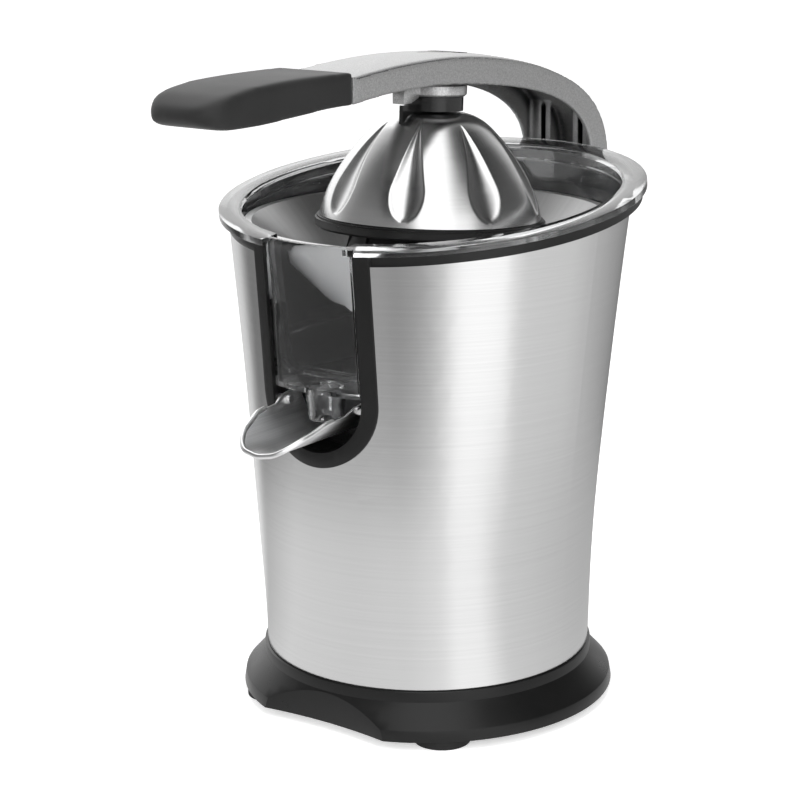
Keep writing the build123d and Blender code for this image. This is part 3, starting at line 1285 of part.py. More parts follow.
HINGE_BUSH_LENGTH = 12.0
with BuildPart() as hinge_bushes:
    for side in (-1, 1):
        with Locations((side * (ARM_HALF_WIDTH - HINGE_BUSH_LENGTH / 2), HINGE_Y, HINGE_Z)):
            Cylinder(BUSH_RADIUS, HINGE_BUSH_LENGTH, rotation=(0, 90, 0))
            Cylinder(HINGE_PIN_RADIUS + RUN_FIT, HINGE_BUSH_LENGTH + 1.0, rotation=(0, 90, 0),
                     mode=Mode.SUBTRACT)
finish(hinge_bushes, "hinge_bushes")

# --------------------------------------------------------------------- grip
GRIP_HALF_WIDTH = 20.5
GRIP_FRONT = -169.0
GRIP_CORNER = 14.0
GRIP_SCREW_SEAT = 291.5      # underside of the screws' heads' seats in the grip
grip_top_points = [(GRIP_SEAM - SEAT_GAP, 305.6), (-100.0, 306.4), (-135.0, 306.2), (-158.0, 304.6)]
grip_under_points = [(-158.0, 289.7), (-148.0, 289.5), (-115.0, 290.4),
                     (GRIP_SEAM - SEAT_GAP, 291.7)]
with BuildPart() as grip_cover:
    with BuildSketch(Plane.YZ):
        with BuildLine():
            crown = Spline(*grip_top_points)
            under = Spline(*grip_under_points)
            Polyline(crown @ 1, (GRIP_FRONT + 1.5, 301.0), (GRIP_FRONT, 297.0),
                     (GRIP_FRONT + 3.0, 292.0), under @ 0)
            Line(under @ 1, crown @ 0)
        make_face()
    extrude(amount=GRIP_HALF_WIDTH, both=True)
    with BuildSketch(Plane.XY.offset(280.0)):
        with Locations((0, GRIP_SEAM + 40.0)):
            RectangleRounded(2 * GRIP_HALF_WIDTH, 2 * (GRIP_SEAM + 40.0 - GRIP_FRONT),
                             GRIP_CORNER)
    extrude(amount=40.0, mode=Mode.INTERSECT)
    with Locations((0, GRIP_SEAM, TONGUE_LOW - SIDE_GAP)):
        Box(2 * (TONGUE_HALF_WIDTH + SIDE_GAP), GRIP_SEAM - TONGUE_END + SIDE_GAP,
            TONGUE_HIGH - TONGUE_LOW + 2 * SIDE_GAP,
            align=(Align.CENTER, Align.MAX, Align.MIN), mode=Mode.SUBTRACT)
    for x, y in grip_screw_places:
        with Locations((x, y, GRIP_SCREW_SEAT)):
            Cylinder(SCREW_RADIUS + RUN_FIT, 2 * GRIP_SCREW_LENGTH, mode=Mode.SUBTRACT)
        with Locations((x, y, GRIP_SCREW_SEAT + SCREW_HEAD_HEIGHT)):
            Cylinder(SCREW_HEAD_RADIUS + RUN_FIT, 2 * CUT_PAST, align=HANGING,
                     mode=Mode.SUBTRACT)
finish(grip_cover, "grip_cover")

grip_screw = screw(GRIP_SCREW_LENGTH)
with BuildPart() as grip_screws:
    for x, y in grip_screw_places:
        head_top = GRIP_SCREW_SEAT + SCREW_HEAD_HEIGHT - SEAT_GAP
        add(Pos(x, y, head_top) * Rot(180, 0, 0) * grip_screw)
finish(grip_screws, "grip_screws")

# --------------------------------------------------------------- dome pieces
seat_step = 0.9              # upper step of the ring, under the dome's rim
rim_bottom = dome_curve[0][1]
with BuildPart() as dome_ring:
    add(dome_turned((
        (DOME_RING_INNER, -2.0), (DOME_RING_RADIUS - 1.0, -2.0), (DOME_RING_RADIUS, -1.0),
        (DOME_RING_RADIUS, 2.3), (DOME_SEAT_RADIUS, rim_bottom - seat_step),
        (DOME_SEAT_RADIUS, rim_bottom - SEAT_GAP), (DOME_RING_INNER, rim_bottom - SEAT_GAP),
    )))
finish(dome_ring, "dome_ring")

with BuildPart() as dome_shell:
    add(dome_form(0))
    add(dome_form(DOME_WALL), mode=Mode.SUBTRACT)
    add(dome_rod(STUD_RADIUS + SEAT_GAP, 30.0, 60.0), mode=Mode.SUBTRACT)
finish(dome_shell, "dome_shell")

with BuildPart() as dome_liner:
    add(dome_form(DOME_WALL + 0.1))
    add(dome_form(DOME_WALL + 0.1 + LINER_WALL), mode=Mode.SUBTRACT)
    add(dome_rod(STUD_RADIUS + SEAT_GAP, 30.0, 60.0), mode=Mode.SUBTRACT)
finish(dome_liner, "dome_liner")

stud_head_top = dome_curve[-1][1] - DOME_WALL - 0.1 - LINER_WALL - SIDE_GAP
with BuildPart() as dome_stud:
    add(dome_rod(STUD_RADIUS, stud_head_top - 1.0, BOSS_HIGH + STUD_REACH))
    add(dome_rod(STUD_HEAD_RADIUS, stud_head_top - 2.5, stud_head_top))
finish(dome_stud, "dome_stud")

with BuildPart() as dome_boss:
    add(dome_turned((
        (STUD_RADIUS + SEAT_GAP, BOSS_LOW), (DOME_BOSS_RADIUS - 1.0, BOSS_LOW),
        (DOME_BOSS_RADIUS, BOSS_LOW + 1.0), (DOME_BOSS_RADIUS, BOSS_HIGH - 0.8),
        (DOME_BOSS_RADIUS - 0.8, BOSS_HIGH), (STUD_RADIUS + SEAT_GAP, BOSS_HIGH),
    )))
    with BuildSketch(Plane.YZ):
        with BuildLine():
            Polyline((-2.0, 290.8), (-17.5, 291.4), (-18.5, 288.5), (-18.5, 284.2),
                     (-13.0, 284.2), (-7.5, 285.9), (-6.5, 287.2), (-2.0, 287.4), close=True)
        make_face()
    extrude(amount=LUG_HALF_WIDTH, both=True)
finish(dome_boss, "dome_boss")

# -------------------------------------------------------------- latch collar
FIN_THICKNESS = 2.0
FIN_GAP = 0.5
FIN_REACH = 25.0             # distance of the fin's front edge from the dome's axis
FIN_TOP = 55.8               # above the dome's origin, along its axis
dome_middle = Plane(origin=dome_origin, x_dir=(0, dome_direction.Z, -dome_direction.Y),
                    z_dir=(1, 0, 0))
with BuildPart() as latch_collar:
    with BuildSketch(dome_middle):
        with BuildLine():
            Polyline((-FIN_REACH, FIN_TOP), (-FIN_REACH, 46.9 + FIN_GAP), (-21.0, 50.1 + FIN_GAP),
                     (-15.0, 52.1 + FIN_GAP), (-6.0, 52.7 + FIN_GAP), (-6.0, FIN_TOP), close=True)
        make_face()
    extrude(amount=FIN_THICKNESS / 2, both=True)
    add(dome_rod(COLLAR_RADIUS, COLLAR_LOW + RUN_FIT, COLLAR_HIGH))
    add(dome_rod(STUD_RADIUS + RUN_FIT, 40.0, 70.0), mode=Mode.SUBTRACT)
finish(latch_collar, "latch_collar")

# ------------------------------------------------------------------- reamer
REAMER_RADIUS = 40.0
REAMER_BOTTOM = 211.0
REAMER_TIP = 267.5
REAMER_RIBS = 10
RIB_WIDTH = 3.0
STEM_RADIUS = 17.0
STEM_BOTTOM = 186.5

reamer_outline = [(STEM_RADIUS, REAMER_BOTTOM), (REAMER_RADIUS, REAMER_BOTTOM),
                  (REAMER_RADIUS, REAMER_BOTTOM + 2.0), (35.0, 230.0), (29.0, 243.0),
                  (19.0, 256.0), (8.0, 264.5), (0, REAMER_TIP)]


def reamer_form(inset):
    """Cone of the reamer, its flanks moved in by inset."""
    points = [(0, REAMER_BOTTOM), (REAMER_RADIUS, REAMER_BOTTOM),
              (REAMER_RADIUS, REAMER_BOTTOM + 2.0)]
    for radius, height in reamer_outline[3:-1]:
        points.append((radius - inset, height - 0.5 * inset))
    points.append((0, REAMER_TIP - inset))
    return turned(points)


coupling_top = SHAFT_TOP - 4.0 + COUPLING_HEIGHT
reamer_hollow = turned([
    (0, REAMER_BOTTOM - 1), (REAMER_RADIUS - 3.0, REAMER_BOTTOM - 1),
    (REAMER_RADIUS - 3.5, REAMER_BOTTOM + 2.0), (28.0, 230.0), (21.0, 243.0),
    (0, 243.0),
])
with BuildPart() as reamer:
    with BuildSketch(Plane((0, AXIS_Y, REAMER_BOTTOM))):
        with PolarLocations(REAMER_RADIUS / 2, REAMER_RIBS):
            Rectangle(REAMER_RADIUS, RIB_WIDTH)
    extrude(amount=REAMER_TIP - REAMER_BOTTOM)
    add(reamer_form(0), mode=Mode.INTERSECT)
    add(reamer_form(2.4))
    add(reamer_hollow, mode=Mode.SUBTRACT)
    with Locations((0, AXIS_Y, STEM_BOTTOM)):
        Cylinder(STEM_RADIUS, 243.5 - STEM_BOTTOM, align=UPRIGHT)
    with Locations((0, AXIS_Y, STEM_BOTTOM)):
        Cylinder(CHIMNEY_RADIUS + 1.0, 2 * 3.0, mode=Mode.SUBTRACT)
    with BuildSketch(Plane((0, AXIS_Y, STEM_BOTTOM))):
        RegularPolygon(COUPLING_RADIUS + 2 * SEAT_GAP, 6)
    extrude(amount=coupling_top + 0.2 - STEM_BOTTOM, mode=Mode.SUBTRACT)
finish(reamer, "reamer")
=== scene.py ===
"""Dressed model of an electric citrus press with a lever, in metres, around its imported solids."""

import json
import logging
import math
from dataclasses import dataclass
from enum import Enum
from typing import Callable, ClassVar

import bpy
from mathutils import Matrix, Vector

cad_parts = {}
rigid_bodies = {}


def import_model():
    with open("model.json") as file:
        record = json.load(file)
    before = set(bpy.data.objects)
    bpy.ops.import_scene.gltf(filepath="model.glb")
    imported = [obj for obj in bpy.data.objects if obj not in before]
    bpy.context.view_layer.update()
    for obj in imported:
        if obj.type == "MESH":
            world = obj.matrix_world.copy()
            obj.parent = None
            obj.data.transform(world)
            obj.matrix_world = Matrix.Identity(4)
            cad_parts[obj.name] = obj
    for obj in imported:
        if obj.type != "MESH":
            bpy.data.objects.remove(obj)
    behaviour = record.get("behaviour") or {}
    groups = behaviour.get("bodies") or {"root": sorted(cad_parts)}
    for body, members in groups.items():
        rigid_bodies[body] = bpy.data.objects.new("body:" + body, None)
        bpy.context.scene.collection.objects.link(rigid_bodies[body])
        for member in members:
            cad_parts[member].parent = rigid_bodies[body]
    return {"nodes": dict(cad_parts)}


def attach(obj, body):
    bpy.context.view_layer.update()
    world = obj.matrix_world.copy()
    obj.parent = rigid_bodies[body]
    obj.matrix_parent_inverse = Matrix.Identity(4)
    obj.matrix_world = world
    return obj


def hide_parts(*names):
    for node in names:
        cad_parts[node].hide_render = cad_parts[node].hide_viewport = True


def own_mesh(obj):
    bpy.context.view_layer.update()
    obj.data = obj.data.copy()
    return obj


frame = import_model()
LOG = logging.getLogger("citrus_press")
MM = 0.001
AXIS_Y = 5 * MM                    # the reamer's axis crosses Y here
DOME_ORIGIN = Vector((0, 5, 226)) * MM
DOME_TILT = math.radians(3.8)
MERGE_DISTANCE = 0.004 * MM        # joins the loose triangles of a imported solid


# --------------------------------------------------------------------- shader maths
class Wire:
    """An output socket that takes part in Python arithmetic."""

    def __init__(self, graph: "Graph", socket: bpy.types.NodeSocket) -> None:
        """Keep the socket and the graph that it belongs to."""
        self.graph = graph
        self.socket = socket

    def _math(self, operation: str, first: object, second: object = None) -> "Wire":
        """Add a Math node.

        Args:
            operation: The node's operation.
            first: Wire or number of the first socket.
            second: Wire or number of the second socket, if it has one.

        Returns:
            The node's result.
        """
        return self.graph.add("ShaderNodeMath", {"operation": operation}, {0: first, 1: second})

    def __add__(self, other: object) -> "Wire":
        """Sum of two values."""
        return self._math("ADD", self, other)

    def __radd__(self, other: object) -> "Wire":
        """Sum of two values."""
        return self._math("ADD", other, self)

    def __sub__(self, other: object) -> "Wire":
        """Difference of two values."""
        return self._math("SUBTRACT", self, other)

    def __rsub__(self, other: object) -> "Wire":
        """Difference of two values."""
        return self._math("SUBTRACT", other, self)

    def __mul__(self, other: object) -> "Wire":
        """Product of two values."""
        return self._math("MULTIPLY", self, other)

    def __rmul__(self, other: object) -> "Wire":
        """Product of two values."""
        return self._math("MULTIPLY", other, self)

    def __truediv__(self, other: object) -> "Wire":
        """Quotient of two values."""
        return self._math("DIVIDE", self, other)

    def __pow__(self, other: object) -> "Wire":
        """Power of two values."""
        return self._math("POWER", self, other)

    def eased(self, low: float, high: float) -> "Wire":
        """Smooth step from 0 at low to 1 at high."""
        return self.graph.add("ShaderNodeMapRange", {"interpolation_type": "SMOOTHSTEP"},
                              {0: self, 1: low, 2: high, 3: 0.0, 4: 1.0})


class Graph:
    """Node tree of one material or world, emptied and built from wires."""

    def __init__(self, tree: bpy.types.NodeTree) -> None:
        """Start on an empty tree."""
        tree.nodes.clear()
        self.tree = tree

    def add(self, kind: str, settings: dict | None = None, sockets: dict | None = None,
            output: int | str = 0) -> Wire:
        """Add a node.

        Args:
            kind: The node's type.
            settings: Its properties, set first. "stops" holds a ramp's (place, colour) pairs.
            sockets: Values or wires of its input sockets, by name or number.
            output: Name or number of the output that is returned.

        Returns:
            The chosen output.
        """
        node = self.tree.nodes.new(kind)
        for name, value in (settings or {}).items():
            if name == "stops":
                elements = node.color_ramp.elements
                while len(elements) < len(value):
                    elements.new(1.0)
                for element, (place, colour) in zip(elements, value):
                    element.position = place
                    element.color = (*colour, 1.0) if len(colour) == 3 else colour
            else:
                setattr(node, name, value)
        for name, value in (sockets or {}).items():
            if isinstance(value, Wire):
                self.tree.links.new(value.socket, node.inputs[name])
            elif value is not None:
                node.inputs[name].default_value = value
        return Wire(self, node.outputs[output])

    def close(self, kind: str, shader: Wire) -> None:
        """Lead the shader to an output node of this kind."""
        output = self.tree.nodes.new(kind)
        self.tree.links.new(shader.socket, output.inputs["Surface"])

    def blend(self, factor: object, first: object, second: object) -> Wire:
        """Mix two colours.

        Args:
            factor: Share of the second colour.
            first: First colour.
            second: Second colour.

        Returns:
            The mixed colour.
        """
        return self.add("ShaderNodeMix", {"data_type": "RGBA"}, {0: factor, 6: first, 7: second}, 2)

    def place(self) -> Wire:
        """Object coordinates, which are the part's own metres."""
        return self.add("ShaderNodeTexCoord", output="Object")

    def moved(self, point: Wire, shift: tuple, scale: tuple) -> Wire:
        """Point shifted and then scaled per axis, through Vector Math."""
        shifted = self.add("ShaderNodeVectorMath", {"operation": "ADD"}, {0: point, 1: shift})
        return self.add("ShaderNodeVectorMath", {"operation": "MULTIPLY"}, {0: shifted, 1: scale})

    def noise(self, point: Wire, scale: float = 1.0, detail: float = 2.0,
              roughness: float = 0.5) -> Wire:
        """Noise value at a point.

        Args:
            point: Coordinates.
            scale: Cells per unit of them.
            detail: Octaves.
            roughness: Weight of the finer octaves.

        Returns:
            The noise, around 0.5.
        """
        return self.add("ShaderNodeTexNoise", {}, {"Vector": point, "Scale": scale,
                                                   "Detail": detail, "Roughness": roughness})


# ------------------------------------------------------------------------- finishes
def grey(value: float, cool: float = 0.0) -> tuple[float, float, float, float]:
    """Neutral colour, a touch cooler where cool is above 0."""
    return (value * (1 - cool), value * (1 - 0.4 * cool), value * (1 + cool), 1.0)


class Lay(Enum):
    """Direction of the fine lines in a brushed metal."""

    AROUND = "round the upright axis"
    RADIAL = "outwards from the axis"
    ALONG = "along the length of the lever"


@dataclass(frozen=True)
class Finish:
    """A surface finish that makes its material."""

    name: str

    def dress(self, graph: Graph) -> Wire:
        """Shader of the finish. Each finish has its own."""
        raise NotImplementedError

    def material(self) -> bpy.types.Material:
        """Build the material once and hand it out again later."""
        found = bpy.data.materials.get(self.name)
        if found is not None and found.get("dressed"):
            return found
        made = bpy.data.materials.new(self.name)
        made.use_nodes = True
        graph = Graph(made.node_tree)
        graph.close("ShaderNodeOutputMaterial", self.dress(graph))
        made["dressed"] = True
        return made


@dataclass(frozen=True)
class BrushedMetal(Finish):
    """Metal with fine lines, drawn by stretched noise."""

    colour: tuple
    roughness: float
    lay: Lay
    line: float = 0.35 * MM        # width of the finest lines
    length: float = 60 * MM
    depth: float = 0.003 * MM
    contrast: float = 0.05
    spread: float = 0.08           # change of the roughness from line to line
    centre: tuple = (0.0, AXIS_Y, 0.0)
    matt_below: float = 0.0        # loss of shine on faces that look down

    FAN_RADIUS: ClassVar[float] = 70 * MM        # radial lines have their stated width here
    BAND_SCALE: ClassVar[float] = 0.13           # broad bands against fine lines
    STREAK_SHARE: ClassVar[float] = 0.7          # weight of the fine lines in the tone
    TONE_RANGE: ClassVar[tuple] = (0.3, 0.7)
    STAIN_CELLS: ClassVar[float] = 22.0          # per metre
    STAIN_SPREAD: ClassVar[float] = 0.05
    LEAN: ClassVar[tuple] = (0.05, 0.35)         # downward lean at which the shine goes
    MATT_COLOUR: ClassVar[tuple] = grey(0.60)

    def lines(self, graph: Graph) -> Wire:
        """Coordinates stretched along the lines."""
        shift = tuple(-c for c in self.centre)
        point = graph.place()
        if self.lay is Lay.AROUND:
            return graph.moved(point, shift, (1 / self.length, 1 / self.length, 1 / self.line))
        if self.lay is Lay.ALONG:
            return graph.moved(point, shift, (1 / self.line, 1 / self.length, 1 / self.line))
        flat = graph.moved(point, shift, (1.0, 1.0, 0.0))
        way = graph.add("ShaderNodeVectorMath", {"operation": "NORMALIZE"}, {0: flat})
        fan = graph.add("ShaderNodeVectorMath", {"operation": "SCALE"},
                        {0: way, 3: self.FAN_RADIUS / self.line})
        out = graph.add("ShaderNodeVectorMath", {"operation": "SCALE"},
                        {0: flat, 3: 1 / self.length})
        return graph.add("ShaderNodeVectorMath", {"operation": "ADD"}, {0: fan, 1: out})

    def dress(self, graph: Graph) -> Wire:
        """Principled metal with streaks in its colour, roughness and relief."""
        lines = self.lines(graph)
        streaks = graph.noise(lines, 1.0, 3.0, 0.65)
        bands = graph.noise(lines, self.BAND_SCALE, 2.0, 0.5)
        stains = graph.noise(graph.place(), self.STAIN_CELLS, 2.0, 0.5)
        tone = streaks * self.STREAK_SHARE + bands * (1 - self.STREAK_SHARE)
        dark = tuple(c * (1 - self.contrast) for c in self.colour[:3]) + (1.0,)
        bright = tuple(min(1.0, c * (1 + self.contrast)) for c in self.colour[:3]) + (1.0,)
        colour = graph.blend(tone.eased(*self.TONE_RANGE), dark, bright)
        rough = (self.roughness + (tone - 0.5) * self.spread
                 + (stains - 0.5) * self.STAIN_SPREAD)
        relief = graph.add("ShaderNodeBump", {}, {"Strength": 1.0, "Distance": self.depth,
                                                  "Height": streaks})
        metal = 1.0
        if self.matt_below > 0:
            normal = graph.add("ShaderNodeNewGeometry", output="True Normal")
            upward = graph.add("ShaderNodeVectorMath", {"operation": "DOT_PRODUCT"},
                               {0: normal, 1: (0, 0, 1)}, "Value")
            below = (0 - upward).eased(*self.LEAN)
            metal = 1 - below * self.matt_below
            colour = graph.blend(below, colour, self.MATT_COLOUR)
        return graph.add("ShaderNodeBsdfPrincipled", {}, {
            "Base Color": colour, "Metallic": metal, "Roughness": rough, "Normal": relief})


@dataclass(frozen=True)
class Moulded(Finish):
    """Opaque moulded plastic or rubber with a fine grain."""

    colour: tuple
    roughness: float
    grain: float = 0.5 * MM
    depth: float = 0.01 * MM
    mottle: float = 0.15
    coat: float = 0.0
    sheen: float = 0.0
    gloss: float = 0.3             # specular level, 0.5 being a common plastic's

    CLOUD_CELLS: ClassVar[float] = 35.0          # per metre
    TONE_RANGE: ClassVar[tuple] = (0.3, 0.7)
    CLOUD_SPREAD: ClassVar[float] = 0.16
    GRAIN_SPREAD: ClassVar[float] = 0.08
    COAT_ROUGHNESS: ClassVar[float] = 0.12
    SHEEN_ROUGHNESS: ClassVar[float] = 0.4

    def dress(self, graph: Graph) -> Wire:
        """Principled plastic with grain, slight mottling and handling marks."""
        point = graph.place()
        grain = graph.noise(point, 1 / self.grain, 2.0, 0.6)
        cloud = graph.noise(point, self.CLOUD_CELLS, 3.0, 0.55)
        dark = tuple(c * (1 - self.mottle) for c in self.colour[:3]) + (1.0,)
        bright = tuple(c * (1 + self.mottle) for c in self.colour[:3]) + (1.0,)
        colour = graph.blend(cloud.eased(*self.TONE_RANGE), dark, bright)
        rough = (self.roughness + (cloud - 0.5) * self.CLOUD_SPREAD
                 + (grain - 0.5) * self.GRAIN_SPREAD)
        relief = graph.add("ShaderNodeBump", {}, {"Strength": 1.0, "Distance": self.depth,
                                                  "Height": grain})
        return graph.add("ShaderNodeBsdfPrincipled", {}, {
            "Base Color": colour, "Metallic": 0.0, "Roughness": rough, "Normal": relief,
            "Coat Weight": self.coat, "Coat Roughness": self.COAT_ROUGHNESS,
            "Sheen Weight": self.sheen, "Sheen Roughness": self.SHEEN_ROUGHNESS,
            "Specular IOR Level": self.gloss})


@dataclass(frozen=True)
class SandySilver(Finish):
    """Silver paint or casting with a sandy grain and bright flakes."""

    colour: tuple
    roughness: float
    metal: float = 0.75
    grain: float = 0.45 * MM
    depth: float = 0.03 * MM
    painted_shade_reach: float = 0.0               # reach of the painted shade that darkens crevices and recesses

    GRAIN_SHARE: ClassVar[float] = 0.8           # weight of the grain against the flakes
    FLAKE_SCALE: ClassVar[float] = 0.7           # flakes per grain
    DARKEST: ClassVar[float] = 0.74
    BRIGHTEST: ClassVar[float] = 1.25
    TONE_RANGE: ClassVar[tuple] = (0.3, 0.78)
    CLOUD_CELLS: ClassVar[float] = 24.0          # per metre
    GRAIN_SPREAD: ClassVar[float] = 0.25
    CLOUD_SPREAD: ClassVar[float] = 0.08
    # Painted shade: range of the ambient occlusion and the near-black that crevices are darkened
    # towards
    PAINTED_SHADE_RANGE: ClassVar[tuple] = (0.58, 0.90)
    PAINTED_SHADE_COLOUR: ClassVar[tuple] = grey(0.012)

    def dress(self, graph: Graph) -> Wire:
        """Principled silver with grain in tone, roughness and relief, and painted shade in its
        crevices.
        """
        point = graph.place()
        grain = graph.noise(point, 1 / self.grain, 3.0, 0.7)
        flakes = graph.add("ShaderNodeTexVoronoi", {"feature": "F1"},
                           {"Vector": point, "Scale": self.FLAKE_SCALE / self.grain}, "Distance")
        cloud = graph.noise(point, self.CLOUD_CELLS, 2.0, 0.5)
        dark = tuple(c * self.DARKEST for c in self.colour[:3]) + (1.0,)
        bright = tuple(min(1.0, c * self.BRIGHTEST) for c in self.colour[:3]) + (1.0,)
        tone = grain * self.GRAIN_SHARE + (1 - flakes) * (1 - self.GRAIN_SHARE)
        colour = graph.blend(tone.eased(*self.TONE_RANGE), dark, bright)
        # Painted shade: ambient occlusion darkens the colour in crevices and recesses
        if self.painted_shade_reach > 0:
            open_sky = graph.add("ShaderNodeAmbientOcclusion", {"samples": 8, "only_local": True},
                                 {"Distance": self.painted_shade_reach}, "AO")
            colour = graph.blend(open_sky.eased(*self.PAINTED_SHADE_RANGE), self.PAINTED_SHADE_COLOUR, colour)
        rough = (self.roughness + (grain - 0.5) * self.GRAIN_SPREAD
                 + (cloud - 0.5) * self.CLOUD_SPREAD)
        relief = graph.add("ShaderNodeBump", {}, {"Strength": 1.0, "Distance": self.depth,
                                                  "Height": grain})
        return graph.add("ShaderNodeBsdfPrincipled", {}, {
            "Base Color": colour, "Metallic": self.metal, "Roughness": rough, "Normal": relief})


@dataclass(frozen=True)
class ClearPlastic(Finish):
    """Clear moulded plastic with faint flow marks."""

    colour: tuple
    roughness: float = 0.06
    index: float = 1.49            # of refraction
    gloss: float = 0.3             # specular level

    SMUDGE_CELLS: ClassVar[float] = 60.0         # per metre
    SMUDGE_RANGE: ClassVar[tuple] = (0.55, 0.8)
    SMUDGE_ROUGHNESS: ClassVar[float] = 0.05
    FLOW_CELLS: ClassVar[float] = 18.0           # per metre
    FLOW_DEPTH: ClassVar[float] = 0.02 * MM

    def dress(self, graph: Graph) -> Wire:
        """Principled transmission with smudges in its roughness."""
        point = graph.place()
        smudge = graph.noise(point, self.SMUDGE_CELLS, 3.0, 0.6)
        flow = graph.noise(point, self.FLOW_CELLS, 1.0, 0.4)
        rough = self.roughness + smudge.eased(*self.SMUDGE_RANGE) * self.SMUDGE_ROUGHNESS
        relief = graph.add("ShaderNodeBump", {}, {
            "Strength": 0.4, "Distance": self.FLOW_DEPTH, "Height": flow})
        glass = graph.add("ShaderNodeBsdfPrincipled", {}, {
            "Base Color": self.colour, "Roughness": rough, "Transmission Weight": 1.0,
            "IOR": self.index, "Normal": relief, "Specular IOR Level": self.gloss})
        through = graph.add("ShaderNodeBsdfTransparent", {}, {"Color": self.colour})
        shadow = graph.add("ShaderNodeLightPath", output="Is Shadow Ray")
        return graph.add("ShaderNodeMixShader", {}, {0: shadow, 1: glass, 2: through})


RUBBER = Moulded("foot_rubber", grey(0.014), 0.75, 0.6 * MM, 0.02 * MM)
SATIN_BLACK = Moulded("satin_black_plastic", grey(0.007), 0.30, 0.35 * MM, 0.006 * MM, 0.12)
GLOSS_BLACK = Moulded("gloss_black_plastic", grey(0.008), 0.14, 0.5 * MM, 0.002 * MM, 0.1, 0.0,
                      0.0, 0.5)
HOUSING_BLACK = Moulded("housing_black_plastic", grey(0.012), 0.48, 0.5 * MM, 0.01 * MM)
SOFT_GRIP = Moulded("soft_touch_grip", grey(0.017), 0.58, 0.45 * MM, 0.02 * MM, 0.12, 0.0, 0.10)
GEAR_WHITE = Moulded("white_nylon", grey(0.78), 0.42, 0.6 * MM, 0.008 * MM, 0.04)
CARBON = Moulded("brush_carbon", grey(0.030), 0.55, 0.3 * MM, 0.02 * MM)
JACKET = BrushedMetal("brushed_jacket", grey(0.70), 0.21, Lay.AROUND, 0.22 * MM, 90 * MM,
                      0.0012 * MM, 0.035, 0.05, (0.0, 0.0, 0.0))
SIEVE = BrushedMetal("brushed_sieve", grey(0.55), 0.30, Lay.RADIAL, 0.35 * MM, 40 * MM,
                     0.004 * MM, 0.07, matt_below=0.9)
DOME = BrushedMetal("satin_dome", grey(0.72), 0.25, Lay.AROUND, 0.25 * MM, 50 * MM,
                    0.001 * MM, 0.03, 0.04)
SPOUT_STEEL = BrushedMetal("polished_spout", grey(0.80), 0.34, Lay.ALONG, 0.25 * MM, 40 * MM,
                           0.004 * MM, 0.12, 0.16)
LIP_STEEL = BrushedMetal("rolled_spout_lip", grey(0.86), 0.30, Lay.ALONG, 0.25 * MM, 40 * MM,
                         0.002 * MM, 0.06)
SCREW_STEEL = BrushedMetal("screw_steel", grey(0.60), 0.30, Lay.AROUND, 0.25 * MM, 20 * MM)
MOTOR_STEEL = BrushedMetal("motor_steel", grey(0.48), 0.40, Lay.AROUND, 0.4 * MM, 30 * MM)
BRONZE = BrushedMetal("sintered_bronze", (0.66, 0.46, 0.25, 1.0), 0.45, Lay.AROUND)
COPPER = BrushedMetal("enamelled_copper", (0.62, 0.28, 0.12, 1.0), 0.30, Lay.AROUND, 0.6 * MM,
                      30 * MM, 0.08 * MM, 0.15)
CAST = SandySilver("cast_aluminium", grey(0.55), 0.42, 0.9)
# The last value gives the arm painted shade in its crevices, up to 10 mm deep
ARM_PAINT = SandySilver("sandy_silver_paint", grey(0.42), 0.40, 0.60, 0.50 * MM, 0.04 * MM,
                        10 * MM)
BOSS_SILVER = SandySilver("satin_cast_boss", grey(0.62), 0.34, 0.85, 0.6 * MM, 0.02 * MM)
CLEAR = ClearPlastic("clear_bowl", (0.97, 0.975, 0.98, 1.0))
# Painted highlight: an opaque light grey on the bowl's rounded edges stands for the light that
# clear edges catch
CLEAR_EDGE_HIGHLIGHT = Moulded("painted_highlight_clear_edge", grey(0.80), 0.20, 0.5 * MM, 0.002 * MM, 0.2, 0.0, 0.0,
                     0.5)

NODE_FINISH = {
    RUBBER: ("rubber_feet", "shaft_seal"),
    SATIN_BLACK: ("base_shell", "window_frame", "upper_trim_ring", "spout_pocket", "dome_ring",
                  "hinge_housing", "cord_gland"),
    HOUSING_BLACK: ("inner_housing", "bottom_cover", "bowl_deck", "start_switch",
                    "switch_plunger", "brush_holders", "terminal_block", "reamer"),
    GLOSS_BLACK: ("arm_insert", "latch_collar"),
    SOFT_GRIP: ("grip_cover",),
    GEAR_WHITE: ("gearbox_housing", "gearbox_cover", "support_posts", "idler_wheel",
                 "idler_pinion", "output_gear", "drive_coupling", "press_sleeve",
                 "cooling_fan"),
    CARBON: ("carbon_brushes",),
    JACKET: ("steel_jacket",),
    SIEVE: ("juice_sieve",),
    DOME: ("dome_shell",),
    SPOUT_STEEL: ("spout", "spout_pins"),
    SCREW_STEEL: ("short_screws", "long_screws", "grip_screws", "hinge_pin", "idler_axle",
                  "return_spring", "drive_shaft", "motor_shaft", "dome_stud"),
    MOTOR_STEEL: ("motor_can", "motor_bearings", "stator_stack", "rotor_stack",
                  "motor_pinion"),
    BRONZE: ("output_bush", "hinge_bushes"),
    COPPER: ("field_windings", "rotor_windings", "commutator"),
    CAST: ("motor_end_bells",),
    ARM_PAINT: ("lever_arm",),
    BOSS_SILVER: ("dome_boss",),
    CLEAR: ("juice_bowl",),
}


# -------------------------------------------------------------------- modelling aids
def deselect() -> None:
    """Leave edit mode and deselect every object."""
    if bpy.context.object is not None and bpy.context.object.mode != "OBJECT":
        bpy.ops.object.mode_set(mode="OBJECT")
    for thing in bpy.data.objects:
        thing.select_set(False)


def pick(thing: bpy.types.Object) -> bpy.types.Object:
    """Make an object the only selected and active one."""
    deselect()
    thing.select_set(True)
    bpy.context.view_layer.objects.active = thing
    return thing


def named(name: str) -> bpy.types.Object:
    """Give the primitive that was just added its name."""
    thing = bpy.context.object
    thing.name = name
    thing.data.name = name
    return thing


